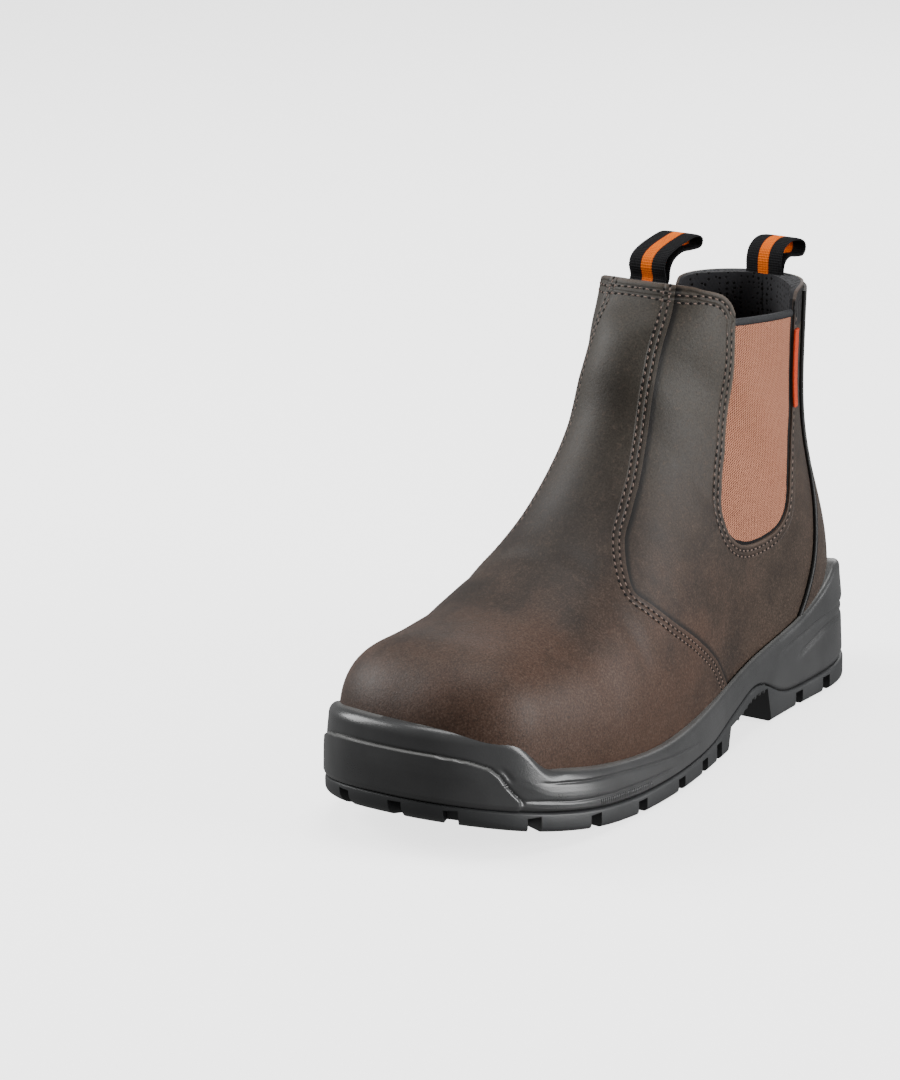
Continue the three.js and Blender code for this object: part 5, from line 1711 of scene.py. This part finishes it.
@dataclass
class Stitching:
    """All rows of thread, laid on the finished leather."""

    bench: Bench
    last: Last
    upper: Upper
    pitch: float = 3.2
    length: float = 2.0
    width: float = 0.85
    rows: list[tuple[Array, Array, Array]] = field(default_factory=list)

    def tree_of(self, piece: bpy.types.Object) -> BVHTree:
        """Search tree over a piece's mesh."""
        return BVHTree.FromObject(piece, bpy.context.evaluated_depsgraph_get())

    def sew(self, host: BVHTree, line: Array, inward: float = 0.1, half: bool = False) -> None:
        """Add a row of stitches along a line near the host's surface.

        Args:
            host: search tree of the leather.
            line: (n, 3) points in mm.
            inward: how deep the thread lies.
            half: whether the row is half a stitch out of step with its neighbour.
        """
        places, runs = spread(self.bench.place(line), self.pitch * 1e-3)
        if half:
            places = (places[:-1] + places[1:]) / 2
            runs = runs[:-1]
        found, outs, kept = [], [], []
        for place, run in zip(places, runs):
            spot, normal, _, far = host.find_nearest(Vector(place))
            if spot is None or far > 0.0016 or place[2] > 0.1938:
                continue
            found.append(spot - normal * inward * 1e-3)
            outs.append(normal)
            kept.append(run)
        if found:
            self.rows.append((np.array(found), np.array(kept), np.array(outs)))

    def build(self, thread: bpy.types.Material, hole: bpy.types.Material) -> None:
        """Lay every row.

        Args:
            thread: finish of the thread.
            hole: finish of the needle holes.
        """
        vamp, quarters = self.tree_of(self.upper.vamp), self.tree_of(self.upper.quarters)
        gore = smooth_line([*GORE_FRONT, *GORE_BOTTOM, *GORE_BACK], 10)
        for side in (LATERAL, MEDIAL):
            for shift in (2.3, 4.9):
                self.sew(vamp, self.upper.seam_line(side, shift), half=shift > 3)
                self.sew(quarters, self.beside(gore, side, shift, 0.0 if shift < 3 else 0.35), half=shift > 3)
            self.collar(vamp, quarters, side)
        places, runs, outs = (np.concatenate(part) for part in zip(*self.rows))
        stitch = BeadRow(self.bench, Bead.THREAD, self.length, self.width, 0.62)
        stitch.lay("stitches", places, runs, outs, thread, "leather")
        pin = BeadRow(self.bench, Bead.THREAD, 1.9, 1.35, 0.4)
        pin.lay("needle_holes", places + runs * self.pitch * 0.5e-3, runs, outs, hole, "leather")

    def beside(self, line: Sequence[tuple[float, float]], side: float, shift: float, stop: float) -> Array:
        """Row outside the gore's outline, in side view.

        Args:
            line: the outline.
            side: LATERAL or MEDIAL.
            shift: distance from it.
            stop: share of the row that is left off at its back end.

        Returns:
            The row on the leather.
        """
        p = np.array(line)
        way = np.gradient(p, axis=0)
        way /= np.linalg.norm(way, axis=1, keepdims=True)
        outward = np.stack([-way[:, 1], way[:, 0]], -1)
        moved = p + outward * shift
        moved = moved[:int(len(moved) * (1 - stop))]
        return self.last.side_point(moved[:, 0], moved[:, 1], side, 0.0)

    def collar(self, vamp: BVHTree, quarters: BVHTree, side: float) -> None:
        """Double row under the collar's front edge."""
        edge = np.array(smooth_line([COLLAR_FRONT[0], *COLLAR_FRONT[1:]], 12))
        for shift in (2.6, 5.4):
            way = np.gradient(edge, axis=0)
            way /= np.linalg.norm(way, axis=1, keepdims=True)
            moved = edge + np.stack([way[:, 1], -way[:, 0]], -1) * shift
            front = float(np.interp(195.5 - shift, [186, 196], [130.2, 122.7])) + 0.9
            tail = front - (front - 118.0) * np.linspace(1, 0, 80) ** 3
            head = moved[moved[:, 0] < 117.0]
            s = np.concatenate([head[:, 0], tail])
            z = np.concatenate([head[:, 1], np.linspace(head[-1, 1], 195.6 - shift, 80)])
            line = self.last.side_point(s, z, side, -0.4)
            at, up = self.last.section_of(s, z, -0.4)
            split = up < self.upper.seam(at)[1]
            self.sew(quarters, line[split])
            self.sew(vamp, line[~split])


# Studio


@dataclass
class Studio:
    """Pale floor, soft light and the camera at the photograph's angle."""

    bench: Bench
    azimuth: float = 35.83
    elevation: float = 16.28
    roll: float = -1.0
    lens: float = 138.64
    spot: tuple[float, float, float] = (918.16, 1533.69, 575.59)

    def camera(self) -> None:
        """Set the camera."""
        a, e, r = (math.radians(v) for v in (self.azimuth, self.elevation, self.roll))
        back = Vector((math.sin(a) * math.cos(e), -math.cos(a) * math.cos(e), math.sin(e)))
        level = (-back).cross(Vector((0, 0, 1))).normalized()
        up = level.cross(-back)
        right = math.cos(r) * level + math.sin(r) * up
        top = -math.sin(r) * level + math.cos(r) * up
        data = bpy.data.cameras.new("camera")
        data.lens = self.lens
        data.clip_end = 50
        eye = bpy.data.objects.new("camera", data)
        turn = Matrix((right, top, back)).transposed().to_4x4()
        turn.translation = Vector(self.bench.place(np.array(self.spot)))
        eye.matrix_world = turn
        bpy.context.scene.collection.objects.link(eye)
        bpy.context.scene.camera = eye

    def lamp(self, name: str, place: tuple[float, float, float], size: float, power: float) -> None:
        """Soft square lamp that faces the boot."""
        data = bpy.data.lights.new(name, "AREA")
        data.shape = "SQUARE"
        data.size = size
        data.energy = power
        lamp = bpy.data.objects.new(name, data)
        lamp.location = place
        lamp.rotation_euler = (Vector((0, 0, 0.08)) - Vector(place)).to_track_quat("-Z", "Y").to_euler()
        bpy.context.scene.collection.objects.link(lamp)

    def build(self) -> None:
        """Set floor, light and camera."""
        floor = bpy.data.meshes.new("floor")
        floor.from_pydata([(-6, -6, -0.0003), (6, -6, -0.0003), (6, 6, -0.0003), (-6, 6, -0.0003)], [],
                          [(0, 1, 2, 3)])
        ground = bpy.data.objects.new("floor", floor)
        bpy.context.scene.collection.objects.link(ground)
        sheet = Sheet("floor")
        floor.materials.append(sheet.close(Base_Color=(0.8, 0.8, 0.8, 1), Roughness=0.9,
                                           Specular_IOR_Level=0.1, Emission_Color=(1, 1, 1, 1),
                                           Emission_Strength=2.2))
        ground.visible_diffuse = False
        ground.visible_glossy = False
        world = bpy.data.worlds.new("studio")
        world.use_nodes = True
        sky = world.node_tree.nodes["Background"]
        sky.inputs[0].default_value = (1, 1, 1, 1)
        sky.inputs[1].default_value = 0.28
        bpy.context.scene.world = world
        self.lamp("left", (-1.5, -0.6, 1.0), 1.1, 44)
        self.lamp("right", (1.6, 0.4, 0.4), 1.1, 52)
        self.lamp("top", (0.0, 0.1, 1.9), 1.0, 22)
        self.lamp("back", (-0.4, 1.6, 0.9), 1.0, 8)
        self.camera()


def main() -> None:
    """Build the boot piece by piece."""
    logging.basicConfig(level=logging.INFO, format="%(message)s")
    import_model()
    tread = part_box("outsole")
    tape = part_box("pull_loop_front")
    bench = Bench((tape[0][0] + tape[1][0]) * 500, tread[1][1] * 1000)
    last = Last()

    vamp_leather = Leather("vamp_leather", lapped=True).make()
    leather = Leather("quarter_leather", bound=True).make()
    counter_leather = Leather("counter_leather", mid=(0.036, 0.025, 0.019), marked=False).make()
    black = Plain("black_cord", (0.007, 0.0065, 0.0065), (0.003, 0.003, 0.003), 0.5).make()
    elastic = Elastic().make()
    binding = Plain("bound_edge", (0.026, 0.027, 0.03), (0.008, 0.008, 0.009), 0.7, 1600).make()
    webbing = Webbing().make()
    lining = Lining().make()
    rubber = Moulded("midsole_pu").make()
    ground = Moulded("tread_rubber", (0.02, 0.021, 0.022), (0.027, 0.028, 0.029), rough=0.46,
                     grain=0.00007).make()
    orange = Plain("orange_tape", (0.6, 0.06, 0.012), (0.36, 0.025, 0.006), 0.7, 1800, 0.00015).make()
    thread = Plain("thread", (0.24, 0.165, 0.135), (0.05, 0.032, 0.025), 0.5, 2500).make()
    hole = Plain("needle_hole", (0.003, 0.0025, 0.0022), (0.002, 0.0016, 0.0015), 0.9).make()

    upper = Upper(bench, last)
    upper.build(vamp_leather, leather, lining)
    HeelCounter(bench, last, upper).build(counter_leather, black)
    for side, name in ((LATERAL, "lateral"), (MEDIAL, "medial")):
        Gore(bench, last, side, name).build(elastic, binding)
    sole = Sole(bench, upper)
    block = sole.midsole(rubber)
    sole.outsole(ground)
    sole.ribs(rubber, block)
    Footbed(bench, last).build(lining)
    PullLoop(bench, "pull_loop_front", FRONT_LOOP).build(webbing)
    PullLoop(bench, "pull_loop_back", BACK_LOOP).build(webbing)
    SideTab(bench, last).build(orange)
    Stitching(bench, last, upper).build(thread, hole)
    Studio(bench).build()


if __name__ == "__main__":
    main()
